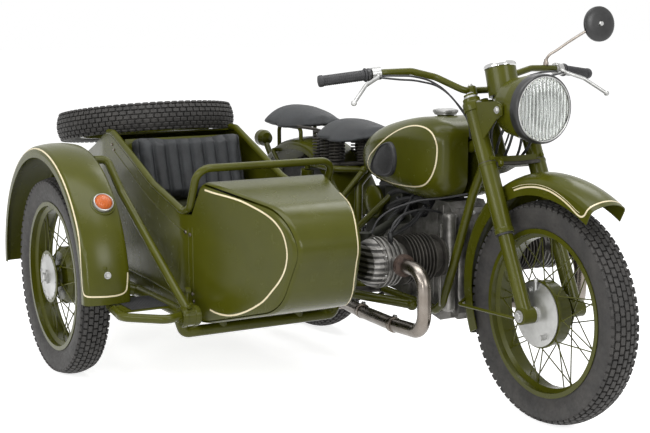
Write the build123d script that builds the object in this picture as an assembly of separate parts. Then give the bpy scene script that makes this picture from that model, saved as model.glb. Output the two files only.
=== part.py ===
from build123d import *
from math import atan2, cos, degrees, radians, sin, sqrt
import os

# Motorcycle with a sidecar. All sizes in mm.
# While it is drawn, x runs forward from the rear axle, y to the rider's left and z up from
# the ground, with the motorcycle's middle plane at y = 0. At the end everything is moved so
# that the origin is the middle of the bottom of the whole vehicle.

# ---- layout ----
wheelbase = 1450
tyre_radius = 340
track = 1094            # motorcycle middle plane to sidecar wheel
sidecar_lead = 175      # sidecar axle ahead of the rear axle
seat_gap = 0.3          # between pieces that sit on each other
running_gap = 2         # between a turning and a fixed piece
bore_gap = 0.3          # between a pin and its bore, on the radius

# ---- wheels ----
tyre_width = 100
tread_drop = 11         # crown to shoulder
rim_seat_radius = 245
flange_height = 11
rim_width = 82
rim_wall = 3.5
rim_well_drop = 13
axle_radius = 10
drum_radius = 99
drum_lip = 5
drum_depth = 62
hub_half_width = 50
hub_core_radius = 30
spoke_flange_radius = 56
spoke_radius = 2
spoke_pairs = 9         # crossed pairs on each side of a wheel
hub_disc_radius = 89

# ---- steering ----
rake = 25               # degrees
fork_offset = 60        # fork legs ahead of the steering axis
leg_spacing = 190
slider_radius = 23
shroud_radius = 28
shroud_low = 262        # distances along the fork from the axle
shroud_join = 482
shroud_top = 692
leg_cap_radius = 21
clamp_y = 45            # handlebar clamps each side of the middle
bridge_thickness = 24
stem_radius = 14
head_radius = 29
bar_radius = 11
grip_radius = 16
grip_length = 150
bar_half_width = 527
bar_height = 1026
lamp_radius = 101
lamp_height = 948
lamp_front = wheelbase - 65
lamp_depth = 180
mirror_radius = 60

# ---- engine ----
cylinder_x = wheelbase - 445
cylinder_z = 452
case_half_width = 112
barrel_radius = 55
fin_radius = 80
fin_count = 8
fin_thickness = 3.5
fin_pitch = 13
head_length = 72
pipe_radius = 22

# ---- frame and bodywork ----
frame_tube = 15         # tube radius
rail_height = 278       # bottom rails
rail_half_width = 100
fender_wall = 2.5
fender_corner = 22
tank_half_width = 150
saddle_half_width = 135
saddle_height = 60

# ---- sidecar ----
car_middle = 600        # its middle plane, to the right of the motorcycle
car_half_width = 255
car_wall = 5
car_floor = 252
nose_x = 1175            # the tapered sides' end, just ahead of the rounded nose
nose_half_width = 107
taper_start = 650
tail_x = -600
tail_half_width = 185
chassis_tube = 20
step_tube = 14
handrail_radius = 12.5

car_y = -car_middle
up_from_base = (Align.CENTER, Align.CENTER, Align.MIN)


# ---- helpers ----
def rod(start, end, radius):
    """Round bar between two points."""
    start = Vector(start)
    run = Vector(end) - start
    return Plane(origin=start, z_dir=run) * Cylinder(radius, run.length, align=up_from_base)


def bent(points, radius, bend):
    """Round bar along straight runs joined by arcs."""
    path = FilletPolyline(*points, radius=bend)
    return sweep(Plane(origin=path @ 0, z_dir=path % 0) * Circle(radius), path=path)


def spun(outline):
    """Turned piece about the Y axis, from (radius, distance along the axis) points."""
    return revolve(make_face(Polyline(*outline, close=True)), Axis.Y)


def spun_forward(outline):
    """Turned piece about the X axis, with its distances running forward."""
    return Rot(0, 0, -90) * spun(outline)


def spun_up(outline):
    """Turned piece about the Z axis, with its distances running up."""
    return Rot(90, 0, 0) * spun(outline)


def mirrored(shape):
    """The same piece on the other side of the motorcycle."""
    return mirror(shape, about=Plane.XZ)


def both_sides(shape):
    return [shape, mirrored(shape)]


def plate(outline, low_y, high_y):
    """Flat piece with an (x, z) outline, standing between two y planes."""
    face = Plane.XZ * make_face(Polyline(*outline, close=True))
    return Pos(0, high_y, 0) * extrude(face, high_y - low_y)


def guard_section(radius, half_width, drop, depth, corner):
    """Filled section of a mudguard: a crowned top that rolls into two straight sides."""
    shoulder = radius - drop
    low = radius - depth
    edges = [
        Line((low, -half_width), (shoulder, -half_width)),
        ThreePointArc((shoulder, -half_width), (radius, 0), (shoulder, half_width)),
        Line((shoulder, half_width), (low, half_width)),
        Line((low, half_width), (low, -half_width)),
    ]
    face = make_face(edges)
    return fillet([point for point in face.vertices() if abs(point.X - shoulder) < 0.1], corner)


def guard(radius, half_width, drop, depth, low_angle, high_angle):
    """Mudguard shell about Y between two angles, counted from forward over the top."""
    outside = guard_section(radius, half_width, drop, depth, fender_corner)
    inside = guard_section(radius - fender_wall, half_width - fender_wall, drop, depth,
                           fender_corner - fender_wall)
    shell = revolve(outside - inside, Axis.Y, revolution_arc=high_angle - low_angle)
    return Rot(0, -high_angle, 0) * shell


# ---- wheels ----
tyre_bore = rim_seat_radius + seat_gap
bead_half = rim_width / 2 - rim_wall - seat_gap
flange_radius = rim_seat_radius + flange_height
well_radius = rim_seat_radius - rim_well_drop
well_inside = well_radius - rim_wall


def make_tyre():
    shoulder = (tyre_radius - tread_drop, tyre_width / 2 - 6)
    lip = (flange_radius + 2, bead_half)
    middle = ((flange_radius + tyre_radius) / 2, tyre_width / 2)
    edges = [Line((tyre_bore, -bead_half), (tyre_bore, bead_half))]
    for side in (-1, 1):
        edges.append(Line((tyre_bore, side * bead_half), (lip[0], side * lip[1])))
        edges.append(ThreePointArc((lip[0], side * lip[1]), (middle[0], side * middle[1]),
                                   (shoulder[0], side * shoulder[1])))
    edges.append(ThreePointArc((shoulder[0], -shoulder[1]), (tyre_radius, 0), shoulder))
    return revolve(make_face(edges), Axis.Y)


def make_rim():
    half = rim_width / 2
    seat_end = half - rim_wall
    outer = [(flange_radius, half), (flange_radius, seat_end), (rim_seat_radius, seat_end),
             (rim_seat_radius, 22), (well_radius, 15)]
    inner = [(well_inside, 16), (rim_seat_radius - rim_wall, 24), (rim_seat_radius - rim_wall, half)]
    outline = outer + [(radius, -y) for radius, y in reversed(outer)]
    outline += [(radius, -y) for radius, y in reversed(inner)] + inner
    return spun(outline)


def make_hub(cover_disc):
    """Hub with its drum on the right, and its spokes. A cover disc closes the other face."""
    bore = axle_radius + bore_gap
    face = -hub_half_width
    drum_end = face + drum_depth
    outline = [(bore, face), (drum_radius + drum_lip, face), (drum_radius + drum_lip, face + 9),
               (drum_radius, face + 9), (drum_radius, drum_end - 14), (drum_radius - 16, drum_end),
               (hub_core_radius + 8, drum_end + 4), (hub_core_radius, hub_half_width - 12),
               (spoke_flange_radius, hub_half_width - 9), (spoke_flange_radius, hub_half_width - 4),
               (hub_core_radius, hub_half_width), (bore, hub_half_width)]
    hub = spun(outline)
    spokes = []
    # hub radius, hub y, lean in degrees, rim y
    sides = [(drum_radius - 1, face + 5, 24, -7),
             (spoke_flange_radius - 3, hub_half_width - 6.5, 40, 7)]
    for hub_radius, hub_y, lean, rim_y in sides:
        for pair in range(spoke_pairs):
            for turn in (-1, 1):
                start = radians(360 * pair / spoke_pairs - turn * 4 + (10 if hub_y > 0 else 0))
                end = start + radians(turn * lean)
                reach = well_inside - 0.55 * spoke_radius
                spokes.append(rod((hub_radius * cos(start), hub_y, hub_radius * sin(start)),
                                  (reach * cos(end), rim_y, reach * sin(end)), spoke_radius))
    hub = hub + spokes
    if cover_disc:
        disc = spun([(bore, hub_half_width - 2), (hub_disc_radius, hub_half_width - 2),
                     (hub_disc_radius, hub_half_width + 2), (40, hub_half_width + 6),
                     (24, hub_half_width + 8), (24, hub_half_width + 14), (bore, hub_half_width + 14)])
        hub = hub + disc
    return hub


# name, place of its middle, whether the drum is on the left
wheel_places = [
    ("front", (wheelbase, 0, tyre_radius), False),
    ("rear", (0, 0, tyre_radius), False),
    ("sidecar", (sidecar_lead, -track, tyre_radius), True),
]


def make_wheels():
    tyre = make_tyre()
    rim = make_rim()
    plain_hub = make_hub(False)
    covered_hub = mirrored(make_hub(True))
    wheels = {}
    for name, place, drum_on_left in wheel_places:
        wheels[name + "_tyre"] = Pos(*place) * tyre
        wheels[name + "_rim"] = Pos(*place) * rim
        wheels[name + "_hub"] = Pos(*place) * (covered_hub if drum_on_left else plain_hub)
    return wheels


# ---- fork, in its own frame: x forward of the steering axis, z up along it ----
axis_x = wheelbase - fork_offset * cos(radians(rake))
axis_z = tyre_radius - fork_offset * sin(radians(rake))
fork_frame = Plane(origin=(axis_x, 0, axis_z), x_dir=(cos(radians(rake)), 0, sin(radians(rake))),
                   z_dir=(-sin(radians(rake)), 0, cos(radians(rake))))
leg_y = leg_spacing / 2
lug_outside = leg_y + slider_radius
lug_inside = leg_y - slider_radius
head_low = shroud_join + bridge_thickness / 2 + 6
top_bridge = shroud_top - 24
head_high = top_bridge - bridge_thickness / 2 - 6


def fork_point(forward, side, along):
    """A point of the fork's own frame, in the vehicle's."""
    return fork_frame.from_local_coords(Vector(forward, side, along))


def bridge(along, neck_width):
    """Plate that joins both legs to the steering stem."""
    bar = Box(2 * slider_radius, leg_spacing, bridge_thickness)
    stem_block = Cylinder(stem_radius + 12, bridge_thickness)
    neck = Box(fork_offset, neck_width, bridge_thickness)
    return (Pos(fork_offset, 0, along) * bar + Pos(0, 0, along) * stem_block
            + Pos(fork_offset / 2, 0, along) * neck)


def make_fork():
    leg = Cylinder(slider_radius, shroud_low + 40, align=up_from_base)
    shroud = Pos(0, 0, shroud_low) * Cylinder(shroud_radius, shroud_join - shroud_low - 1, align=up_from_base)
    cover = Pos(0, 0, shroud_join) * Cylinder(shroud_radius - 1, shroud_top - shroud_join, align=up_from_base)
    inner_tube = Pos(0, 0, shroud_join - 4) * Cylinder(shroud_radius - 3, 8, align=up_from_base)
    cap = Pos(0, 0, shroud_top) * Cylinder(leg_cap_radius, 14, align=up_from_base)
    one_leg = leg + shroud + cover + inner_tube + cap
    lug = Rot(90, 0, 0) * Cylinder(slider_radius + 3, 2 * slider_radius)
    parts = [Pos(fork_offset, side * leg_y, 0) * (one_leg + lug) for side in (-1, 1)]
    parts.append(bridge(shroud_join, 52))
    parts.append(bridge(top_bridge, 2 * clamp_y + 34))
    stem = Cylinder(stem_radius, shroud_top - shroud_join + 20, align=up_from_base)
    parts.append(Pos(0, 0, shroud_join) * stem)
    parts.append(Pos(fork_offset, 0, 0) * Rot(90, 0, 0) * Cylinder(axle_radius, leg_spacing))
    fork = fork_frame * (parts[0] + parts[1:])
    return fork + [make_lamp_ear(-1), make_lamp_ear(1)]


ear_bolt = (lamp_front - 75, 0, lamp_height - 4)


def make_lamp_ear(side):
    """Sheet bracket from a shroud forward to the headlamp."""
    low = fork_point(fork_offset, 0, shroud_join + 60)
    high = fork_point(fork_offset, 0, shroud_top - 10)
    outline = [(low.X, low.Z), (ear_bolt[0] - 10, ear_bolt[2] - 30), (ear_bolt[0] + 20, ear_bolt[2] - 14),
               (ear_bolt[0] + 20, ear_bolt[2] + 16), (ear_bolt[0] - 8, ear_bolt[2] + 26), (high.X, high.Z)]
    middle = side * (lamp_radius + 4)
    return plate(outline, middle - 2, middle + 2)


def make_front_brake_plate():
    inside = -hub_half_width - running_gap
    bore = axle_radius + seat_gap
    outline = [(bore, inside), (drum_radius, inside), (drum_radius, inside - 4), (60, inside - 9),
               (26, inside - 12), (26, -lug_inside + seat_gap), (bore, -lug_inside + seat_gap)]
    disc = Pos(wheelbase, 0, tyre_radius) * spun(outline)
    lever = rod((wheelbase + 45, inside - 6, tyre_radius - 62), (wheelbase + 45, inside - 24, tyre_radius - 62), 8)
    anchor = rod((wheelbase - 20, inside - 4, tyre_radius + 72), (wheelbase - 20, inside - 18, tyre_radius + 72), 7)
    return disc + [lever, anchor]


bar_middle = fork_point(8, 0, shroud_top + 49)
bar_x = wheelbase - 408
bar_path_half = [(bar_middle.X, 72, bar_middle.Z), (bar_x, 150, 1032), (bar_x - 8, 236, 1052),
                 (bar_x - 14, 330, 1050), (bar_x - 67, bar_half_width, bar_height)]


def make_handlebar():
    right = [(x, -y, z) for x, y, z in reversed(bar_path_half)]
    bar = bent(right + bar_path_half, bar_radius, [60, 60, 50, 50, 50, 50, 60, 60])
    clamp = Cylinder(15, 66, align=up_from_base)
    foot = top_bridge + bridge_thickness / 2 + seat_gap
    return bar + [fork_frame * Pos(8, side * clamp_y, foot) * clamp for side in (-1, 1)]


grip_end = Vector(bar_path_half[-1])
grip_run = (grip_end - Vector(bar_path_half[-2])).normalized()


def make_grips():
    grips = []
    start = grip_end - grip_run * (grip_length - 6)
    sleeve = rod(start, (grip_end + grip_run * 6), grip_radius)
    sleeve = sleeve - rod((start - grip_run * 5), (grip_end + grip_run * seat_gap),
                          bar_radius + seat_gap)
    for grip in both_sides(sleeve):
        grips.append(grip)
    return grips[0] + grips[1:]


def make_levers():
    lever_start = grip_end - grip_run * (grip_length + 26)
    tip = (bar_x + 73, 493, 966)
    mount = rod((lever_start - grip_run * 14), (lever_start + grip_run * 14), bar_radius + 9)
    mount = mount - rod((lever_start - grip_run * 20), (lever_start + grip_run * 20),
                        bar_radius + seat_gap)
    pivot = lever_start + Vector(30, 10, -10)
    blade = bent([(lever_start + Vector(14, 0, 0)), pivot,
                  (pivot + Vector(26, 60, -22)), tip], 6, 20)
    lever = mount + blade + Pos(*tip) * Sphere(9)
    return lever + [mirrored(lever)]


def make_headlamp():
    rim = lamp_radius
    shell = spun_forward([(0, -lamp_depth), (58, -lamp_depth + 12), (88, -118), (rim - 3, -60), (rim - 3, -14),
                          (rim, -14), (rim, 4), (rim - 13, 8), (rim - 13, -6), (rim - 18, -6),
                          (60, -38), (20, -58), (0, -60)])
    shell = Pos(lamp_front, 0, lamp_height) * shell
    down = (Align.CENTER, Align.CENTER, Align.MAX)
    pod = Pos(lamp_front - 210, 0, 1068) * Rot(0, -17, 0) * Cylinder(49, 92, align=down)
    bosses = rod((ear_bolt[0], -lamp_radius - 2 + seat_gap, ear_bolt[2]),
                 (ear_bolt[0], lamp_radius + 2 - seat_gap, ear_bolt[2]), 9)
    hollow = Pos(lamp_front, 0, lamp_height) * Rot(0, 90, 0) * Cylinder(lamp_radius - 20, 80)
    return shell + pod + bosses - hollow


def make_headlamp_lens():
    rim = lamp_radius - 13 - seat_gap
    inside = -6 + seat_gap
    lens = spun_forward([(0, inside + 8), (rim * 0.6, inside + 5), (rim - 4, inside), (rim, inside),
                         (rim, inside + 4), (rim * 0.6, inside + 11), (0, inside + 14)])
    return Pos(lamp_front, 0, lamp_height) * lens


def make_mirror():
    foot = Vector(bar_x - 11, 300, 1051 + bar_radius + seat_gap)
    top = (bar_x + 32, 490, 1196)
    stem = bent([foot + Vector(0, 0, 6), foot + Vector(4, 6, 34), top], 4, 18)
    stem += rod(foot, foot + Vector(0, 0, 14), 7)
    disc = Plane(origin=top, z_dir=(-1, 0.12, -0.1)) * Cylinder(mirror_radius, 10)
    return stem + disc


front_guard_radius = 384
front_guard_lift = 40   # its centre above the wheel's
front_guard_reach = 517  # radius of the flatter front half
front_guard_half = 64


def make_front_fender():
    centre_z = tyre_radius + front_guard_lift
    back = guard(front_guard_radius, front_guard_half, 20, 66, 90, 207)
    nose_z = centre_z + front_guard_radius - front_guard_reach
    nose = guard(front_guard_reach, front_guard_half, 20, 66, 61, 90)
    fender = Pos(wheelbase, 0, centre_z) * back + Pos(wheelbase, 0, nose_z) * nose
    stays = []
    for side in (-1, 1):
        y = side * (lug_outside + 5 + seat_gap)
        inner = side * front_guard_half
        stays.append(bent([(wheelbase - 20, y, tyre_radius - 8), (wheelbase - 300, y, tyre_radius - 20),
                           (wheelbase - 352, inner, tyre_radius - 20)], 5, 20))
    return fender + stays


# ---- motorcycle frame ----
head_axis_low = fork_point(0, 0, head_low)
head_axis_high = fork_point(0, 0, head_high)
head_axis_middle = (head_axis_low + head_axis_high) * 0.5
saddle_joint = (430, 0, 680)
swing_pivot = (505, 0, 340)
pivot_radius = 12
rear_rail_y = 112
rear_rail_z = 668
shock_top = (150, 118, 646)
shock_low = (116, 118, 372)
down_tube_bottom = wheelbase - 420
top_tube_bend = (800, 0, 745)
strut_ball_y = 52


def make_frame():
    head = rod(head_axis_low, head_axis_high, head_radius)
    parts = [bent([head_axis_middle, top_tube_bend, saddle_joint], 20, 300)]
    for side in (-1, 1):
        wide = side * rail_half_width
        rear = side * rear_rail_y
        parts.append(bent([(down_tube_bottom + 120, side * 16, 800), (down_tube_bottom + 66, side * 36, 660),
                           (down_tube_bottom, wide, 300),
                           (down_tube_bottom - 40, wide, rail_height - 10), (560, wide, rail_height),
                           (swing_pivot[0] - 20, wide, swing_pivot[2] + 10), (430, side * 60, 620),
                           saddle_joint], frame_tube, 24))
        parts.append(bent([(saddle_joint[0] + 4, side * 8, saddle_joint[2] - 12), (350, rear, rear_rail_z),
                           (60, rear, rear_rail_z), (-150, rear, rear_rail_z - 30)], 12, 50))
        boss = Vector(shock_top[0], side * shock_top[1], shock_top[2]) + Vector(0, 0, 4)
        parts.append(rod(boss, boss + Vector(0, 0, 14), 12))
        parts.append(bent([(-100, rear, rear_rail_z - 18), (-150, rear, 694),
                           (-150, side * (rear_guard_half + seat_gap), 694)], 8, 8))
    parts.append(plate([(638, 625), (672, 625), (680, 712), (630, 704)], -6, 6))
    parts.append(rod((900, 0, 750), (900, 0, 800.3), 10))
    parts.append(rod((452, 0, 684), (452, -strut_ball_y + 15 + seat_gap, 674), 10))
    parts.append(rod((swing_pivot[0] - 20, -rail_half_width, swing_pivot[2]),
                     (swing_pivot[0] - 20, rail_half_width, swing_pivot[2]), pivot_radius))
    frame = head + parts
    along = fork_frame.z_dir * 5
    return frame - rod(head_axis_low - along, head_axis_high + along, stem_radius + bore_gap)


rear_guard_half = 95
rear_guard_radius = 415
rear_guard_drop = 14
tail_lamp_place = (-322, -60, 725)


def make_rear_fender():
    shell = guard(rear_guard_radius, rear_guard_half, rear_guard_drop, 46, 22, 192)
    fender = Pos(0, 0, tyre_radius) * shell
    rack = []
    rack_z = passenger_saddle_low - seat_gap - 8
    for side in (-1, 1):
        y = side * (rear_guard_half - 14)
        rack.append(bent([(-150, y, 705), (-150, y, rack_z), (30, y, rack_z), (30, y, 736)], 8, 24))
    return fender + rack


def make_tail_lamp():
    x, y, z = tail_lamp_place
    shell = Pos(x, y, z) * spun_forward([(0, -34), (28, -34), (33, -26), (33, 4), (24, 26), (0, 34)])
    reach = sqrt(x * x + (z - tyre_radius) ** 2)
    crown = (rear_guard_radius - rear_guard_drop * (y / rear_guard_half) ** 2 + 2.8) / reach
    foot = (x * crown, y, tyre_radius + (z - tyre_radius) * crown)
    return shell + rod((x, y, z), foot, 12)


arm_y = 82


def make_swing_arm():
    x, _, z = swing_pivot
    x = x - 20
    tube_end = rail_half_width - frame_tube - 4
    tube = rod((x, -tube_end, z), (x, tube_end, z), 22)
    left = bent([(x, 62, z), (380, arm_y, z), (0, arm_y, z)], 16, 200)
    right = bent([(x, -62, z), (380, -arm_y - 4, z), (0, -arm_y - 4, z)], 20, 200)
    axle = rod((0, -150, z), (0, arm_y + 30, z), axle_radius)
    left_lug = rod((0, hub_half_width + running_gap, z), (0, arm_y + 20, z), 25)
    drive = Pos(0, 0, z) * spun([(0, -hub_half_width - running_gap), (drum_radius, -hub_half_width - running_gap),
                                 (drum_radius, -62), (78, -72), (70, -110), (52, -124), (0, -126)])
    shock_feet = [rod((shock_low[0], side * (arm_y - 4), shock_low[2] - 20),
                      (shock_low[0], side * shock_low[1], shock_low[2] - 20), 9) for side in (-1, 1)]
    arm = tube + [left, right, axle, left_lug, drive] + shock_feet
    return arm - rod((x, -rail_half_width, z), (x, rail_half_width, z), pivot_radius + seat_gap)


def coil_outline(inner, outer, start, pitch, turns):
    """Half outline of a stack of spring turns round a core."""
    points = [(0, start)]
    for turn in range(turns):
        low = start + turn * pitch
        points += [(inner, low), (outer, low + pitch * 0.25), (outer, low + pitch * 0.65), (inner, low + pitch * 0.9)]
    points += [(inner, start + turns * pitch), (0, start + turns * pitch)]
    return points


def make_rear_shocks():
    top = Vector(shock_top)
    low = Vector(shock_low) - Vector(0, 0, 20 - 9 - seat_gap)
    length = (top - low).length
    turns = 12
    pitch = length * 0.6 / turns
    coil = spun_up(coil_outline(17, 24, length * 0.12, pitch, turns))
    body = Cylinder(14, length, align=up_from_base)
    cover = Pos(0, 0, length * 0.72) * Cylinder(25, length * 0.28, align=up_from_base)
    shock = Plane(origin=low, z_dir=top - low) * (coil + body + cover)
    return shock + [mirrored(shock)]


# ---- engine ----
case_low = 226
case_high = 625
case_front = cylinder_x + 29
case_back = cylinder_x - 205
case_body_half = 72
case_seat_radius = 54
gearbox_back = case_back - 215


def make_engine_case():
    block = plate([(case_back, 262), (case_front - 60, case_low), (case_front, case_low + 20),
                   (case_front, case_high - 30), (case_front - 26, case_high), (case_front - 90, case_high),
                   (case_front - 150, 560), (case_back, 545)], -case_body_half, case_body_half)
    cover = plate([(case_front - 4, 244), (case_front + 12, 240), (case_front + 18, 262), (case_front + 18, 590),
                   (case_front + 10, 606), (case_front - 4, 606)], -case_body_half + 18, case_body_half - 18)
    dynamo = rod((case_back + 20, 0, 572), (case_front - 60, 0, 572), 46)
    neck = Pos(cylinder_x - 30, 0, cylinder_z) * Box(112, 2 * case_half_width, 92)
    seats = [rod((cylinder_x, side * 98, cylinder_z), (cylinder_x, side * case_half_width, cylinder_z),
                 case_seat_radius) for side in (-1, 1)]
    lug_end = rail_half_width - frame_tube - seat_gap
    lugs = [rod((x, -lug_end, rail_height - 8), (x, lug_end, rail_height - 8), 12)
            for x in (case_back + 40, case_front - 49)]
    return block + cover + dynamo + neck + seats + lugs


def make_gearbox():
    box = plate([(gearbox_back, 320), (gearbox_back + 60, 286), (case_back - seat_gap, 276),
                 (case_back - seat_gap, 530), (gearbox_back + 90, 500), (gearbox_back, 420)], -78, 78)
    bell = rod((case_back - seat_gap, 0, 400), (case_back - 60, 0, 400), 112)
    return box + bell


barrel_start = case_half_width + seat_gap
barrel_end = 281.5
first_fin = 160
head_start = barrel_end + seat_gap
head_flange = 345
port_y = 310


def make_cylinders():
    outline = [(0, barrel_start), (70, barrel_start), (70, barrel_start + 10), (barrel_radius, barrel_start + 10)]
    for fin in range(fin_count):
        y = first_fin + fin * fin_pitch
        outline += [(barrel_radius, y), (fin_radius, y), (fin_radius, y + fin_thickness),
                    (barrel_radius, y + fin_thickness)]
    outline += [(barrel_radius, barrel_end), (0, barrel_end)]
    barrel = Pos(cylinder_x, 0, cylinder_z) * spun(outline)
    return barrel + [mirrored(barrel)]


def dome_outline(extra):
    """Rocker cover outline, standing proud by extra."""
    rim = fin_radius - 3 + extra
    return [(0, head_flange - 2), (rim, head_flange - 2), (rim, head_flange + 12), (rim - 4, head_flange + 30),
            (rim - 14, head_flange + 44), (rim - 34, head_flange + 53 + extra), (0, head_flange + 55 + extra)]


def make_cylinder_heads():
    outline = [(0, head_start), (fin_radius - 8, head_start)]
    for fin in range(3):
        y = head_start + 10 + fin * 15
        outline += [(fin_radius - 8, y), (fin_radius, y), (fin_radius, y + 4), (fin_radius - 8, y + 4)]
    outline += [(fin_radius - 8, head_flange - 6), (fin_radius + 2, head_flange - 6),
                (fin_radius + 2, head_flange + 2), (0, head_flange + 2)]
    ribs = [Pos(0, head_flange + 30, row * 18) * Box(2 * fin_radius, 90, 6) for row in range(-3, 4)]
    proud = spun(dome_outline(4))
    head = spun(outline) + spun(dome_outline(0)) + [proud & rib for rib in ribs]
    head += rod((0, port_y, 4), (fin_radius + 24, port_y, 4), pipe_radius + 5)
    head += rod((0, port_y, 10), (-fin_radius - 14, port_y, 10), pipe_radius)
    head = Pos(cylinder_x, 0, cylinder_z) * head
    return head + [mirrored(head)]


muffler_start = (560, 205, 224)
muffler_end = (40, 205, 240)


def make_exhaust():
    port = (cylinder_x + fin_radius + 24 + seat_gap, port_y, cylinder_z + 4)
    pipe = bent([port, (cylinder_x + 221, port_y, cylinder_z + 4), (cylinder_x + 219, port_y - 6, 262),
                 (cylinder_x + 25, port_y - 20, 248), (cylinder_x - 265, 240, 230), muffler_start],
                pipe_radius, [62, 70, 240, 240])
    can = Plane(origin=muffler_start, z_dir=Vector(muffler_end) - Vector(muffler_start)) * spun_up(
        [(0, -10), (26, -10), (38, 40), (38, 470), (24, 520), (18, 522), (18, 640), (0, 640)])
    nut = spun_forward([(0, 0), (29, 0), (29, 3), (34, 3), (34, 7), (29, 7), (29, 10), (34, 10), (34, 14),
                        (26, 18), (0, 18)])
    line = pipe + can + Pos(*port) * nut
    return line + [mirrored(line)]


def make_intake():
    canister = rod((545, -62, 570), (545, 62, 570), 56)
    x = cylinder_x - fin_radius - 14 - seat_gap
    hose_end = 590
    hose_bend = hose_end + 0.617 * (x - 110 - hose_end)
    parts = []
    for side in (-1, 1):
        y = side * port_y
        parts.append(rod((x, y, cylinder_z + 10), (x - 60, y, cylinder_z + 10), 20))
        parts.append(rod((x - 30, y, cylinder_z - 34), (x - 30, y, cylinder_z + 74), 23))
        parts.append(bent([(x - 56, y, cylinder_z + 10), (x - 110, y, cylinder_z + 12),
                           (hose_bend, side * 24, 556), (hose_end, side * 20, 560)], 15, [30, 20]))
    return canister + parts


def make_foot_controls():
    parts = []
    for side in (-1, 1):
        out = side * (rail_half_width + frame_tube + seat_gap)
        parts.append(rod((660, out, rail_height), (660, side * 235, rail_height + 8), 11))
    side_face = rail_half_width + frame_tube
    pedal = bent([(620, -side_face - 14, rail_height - 4), (700, -side_face - 60, rail_height - 20),
                  (780, -side_face - 62, rail_height + 12)], 7, 20)
    box_x = gearbox_back + 65
    kick = bent([(box_x, 78 + seat_gap, 400), (box_x, 118, 400), (box_x - 90, 140, 545),
                 (box_x - 90, 210, 555)], 9, 14)
    shift = bent([(box_x + 50, 78 + seat_gap, 360), (box_x + 50, 150, 362), (box_x + 130, 160, 350)], 6, 14)
    pedal += rod((620, -side_face - seat_gap, rail_height - 4), (620, -side_face - 20, rail_height - 4), 10)
    return parts[0] + [parts[1], pedal, kick, shift]


# ---- tank and saddles ----
tank_rear = 484
tank_front = wheelbase - 398
# share of the tank's length, half width, low z, high z, corner radius
tank_sections = [
    (1, 78, 705, 838, 44),
    (0.944, 128, 650, 880, 62),
    (0.732, 150, 626, 896, 74),
    (0.486, 149, 640, 874, 70),
    (0.275, 138, 656, 842, 64),
    (0.107, 110, 672, 796, 48),
    (0, 62, 692, 752, 26),
]
tunnel_half = 27
filler_x = 885
filler_radius = 33


def make_fuel_tank():
    profiles = []
    for share, half, low, high, corner in tank_sections:
        x = tank_rear + share * (tank_front - tank_rear)
        face = RectangleRounded(2 * half, high - low, corner)
        profiles.append(Plane(origin=(x, 0, (low + high) / 2), x_dir=(0, 1, 0), z_dir=(1, 0, 0)) * face)
    tank = loft(profiles)
    tunnel = plate([(400, 600), (tank_front + 48, 600), (tank_front + 48, 845), (tank_front - 52, 832),
                    (800, 775), (430, 712), (400, 706)], -tunnel_half, tunnel_half)
    neck = rod((filler_x, 0, 870), (filler_x, 0, 900), filler_radius - 5)
    cap = rod((filler_x, 0, 900), (filler_x, 0, 915), filler_radius)
    return tank - tunnel + neck + cap


def make_knee_pads(tank):
    edges = [ThreePointArc((800, 690), (828, 740), (806, 806)), Line((806, 806), (770, 812)),
             ThreePointArc((770, 812), (700, 785), (640, 716)), Line((640, 716), (652, 684)),
             Line((652, 684), (800, 690))]
    pad = Pos(0, tank_half_width + 12, 0) * extrude(Plane.XZ * make_face(edges), 60)
    pads = [one - tank for one in both_sides(pad)]
    return Compound(children=[solid for pad in pads for solid in pad.solids()[:1]])


def saddle(rear_x, front_x, low):
    """Saddle: wide round back, narrow raised nose, crowned top."""
    wide = saddle_half_width
    nose = 42
    edges = [ThreePointArc((rear_x + 90, -wide), (rear_x, 0), (rear_x + 90, wide)),
             Line((rear_x + 90, wide), (rear_x + 190, wide)),
             Line((rear_x + 190, wide), (front_x - 40, nose)),
             ThreePointArc((front_x - 40, nose), (front_x, 0), (front_x - 40, -nose)),
             Line((front_x - 40, -nose), (rear_x + 190, -wide)),
             Line((rear_x + 190, -wide), (rear_x + 90, -wide))]
    block = Pos(0, 0, low) * extrude(make_face(edges), 120)
    side = make_face([Polyline((front_x, low + 50), (front_x, low + 40), (front_x - 120, low),
                               (rear_x + 60, low), (rear_x, low + 12), (rear_x, low + 34)),
                      ThreePointArc((rear_x, low + 34), ((rear_x + front_x) / 2 - 60, low + saddle_height),
                                    (front_x, low + 50))])
    return block & extrude(Plane.XZ * side, wide, both=True)


driver_saddle_low = 778
passenger_saddle_low = 802


def make_saddle_springs():
    height = driver_saddle_low - seat_gap - 680
    coil = spun_up(coil_outline(18, 27, 0, height / 8, 8))
    parts = [Pos(290, side * 70, 680) * coil for side in (-1, 1)]
    shelf = Pos(290, 0, 676) * Box(60, 2 * (rear_rail_y - 12 - seat_gap), 8)
    nose = rod((430, 0, saddle_joint[2] + 22), (430, 0, driver_saddle_low - seat_gap), 9)
    return shelf + parts + [nose]


# ---- sidecar body ----
cockpit_back = -20
cockpit_front = 745
bulkhead_gap = 12
rim_line = [(cockpit_back - 2, 806), (26, 806), (211, 735), (390, 664), (640, 602)]
handrail_foot = (690, 622)
handrail_top = (752, 752)
side_y = car_half_width - handrail_radius
deck_line = [(-100, 776), (-200, 744), (-560, 640)]
cowl_back = (750, 708)
nose_corners = [(1105, 655), (1170, 540), (1085, 345), (745, car_floor)]
nose_bends = [170, 80, 150, 300]
shelf_z = 430


def side_outline(inset):
    """Side view of the shell, all faces moved in by inset."""
    nose = FilletPolyline(cowl_back, *nose_corners, (600, car_floor), radius=nose_bends)
    rest = Polyline((600, car_floor), (-470, car_floor), (-560, 340), (tail_x, 590), *reversed(deck_line),
                    (cockpit_back - 16, 800), (26, 800), (211, 729), (390, 658), (640, 596), (700, 600), cowl_back)
    face = make_face([nose, rest])
    return offset(face, -inset, kind=Kind.INTERSECTION) if inset else face


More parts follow.
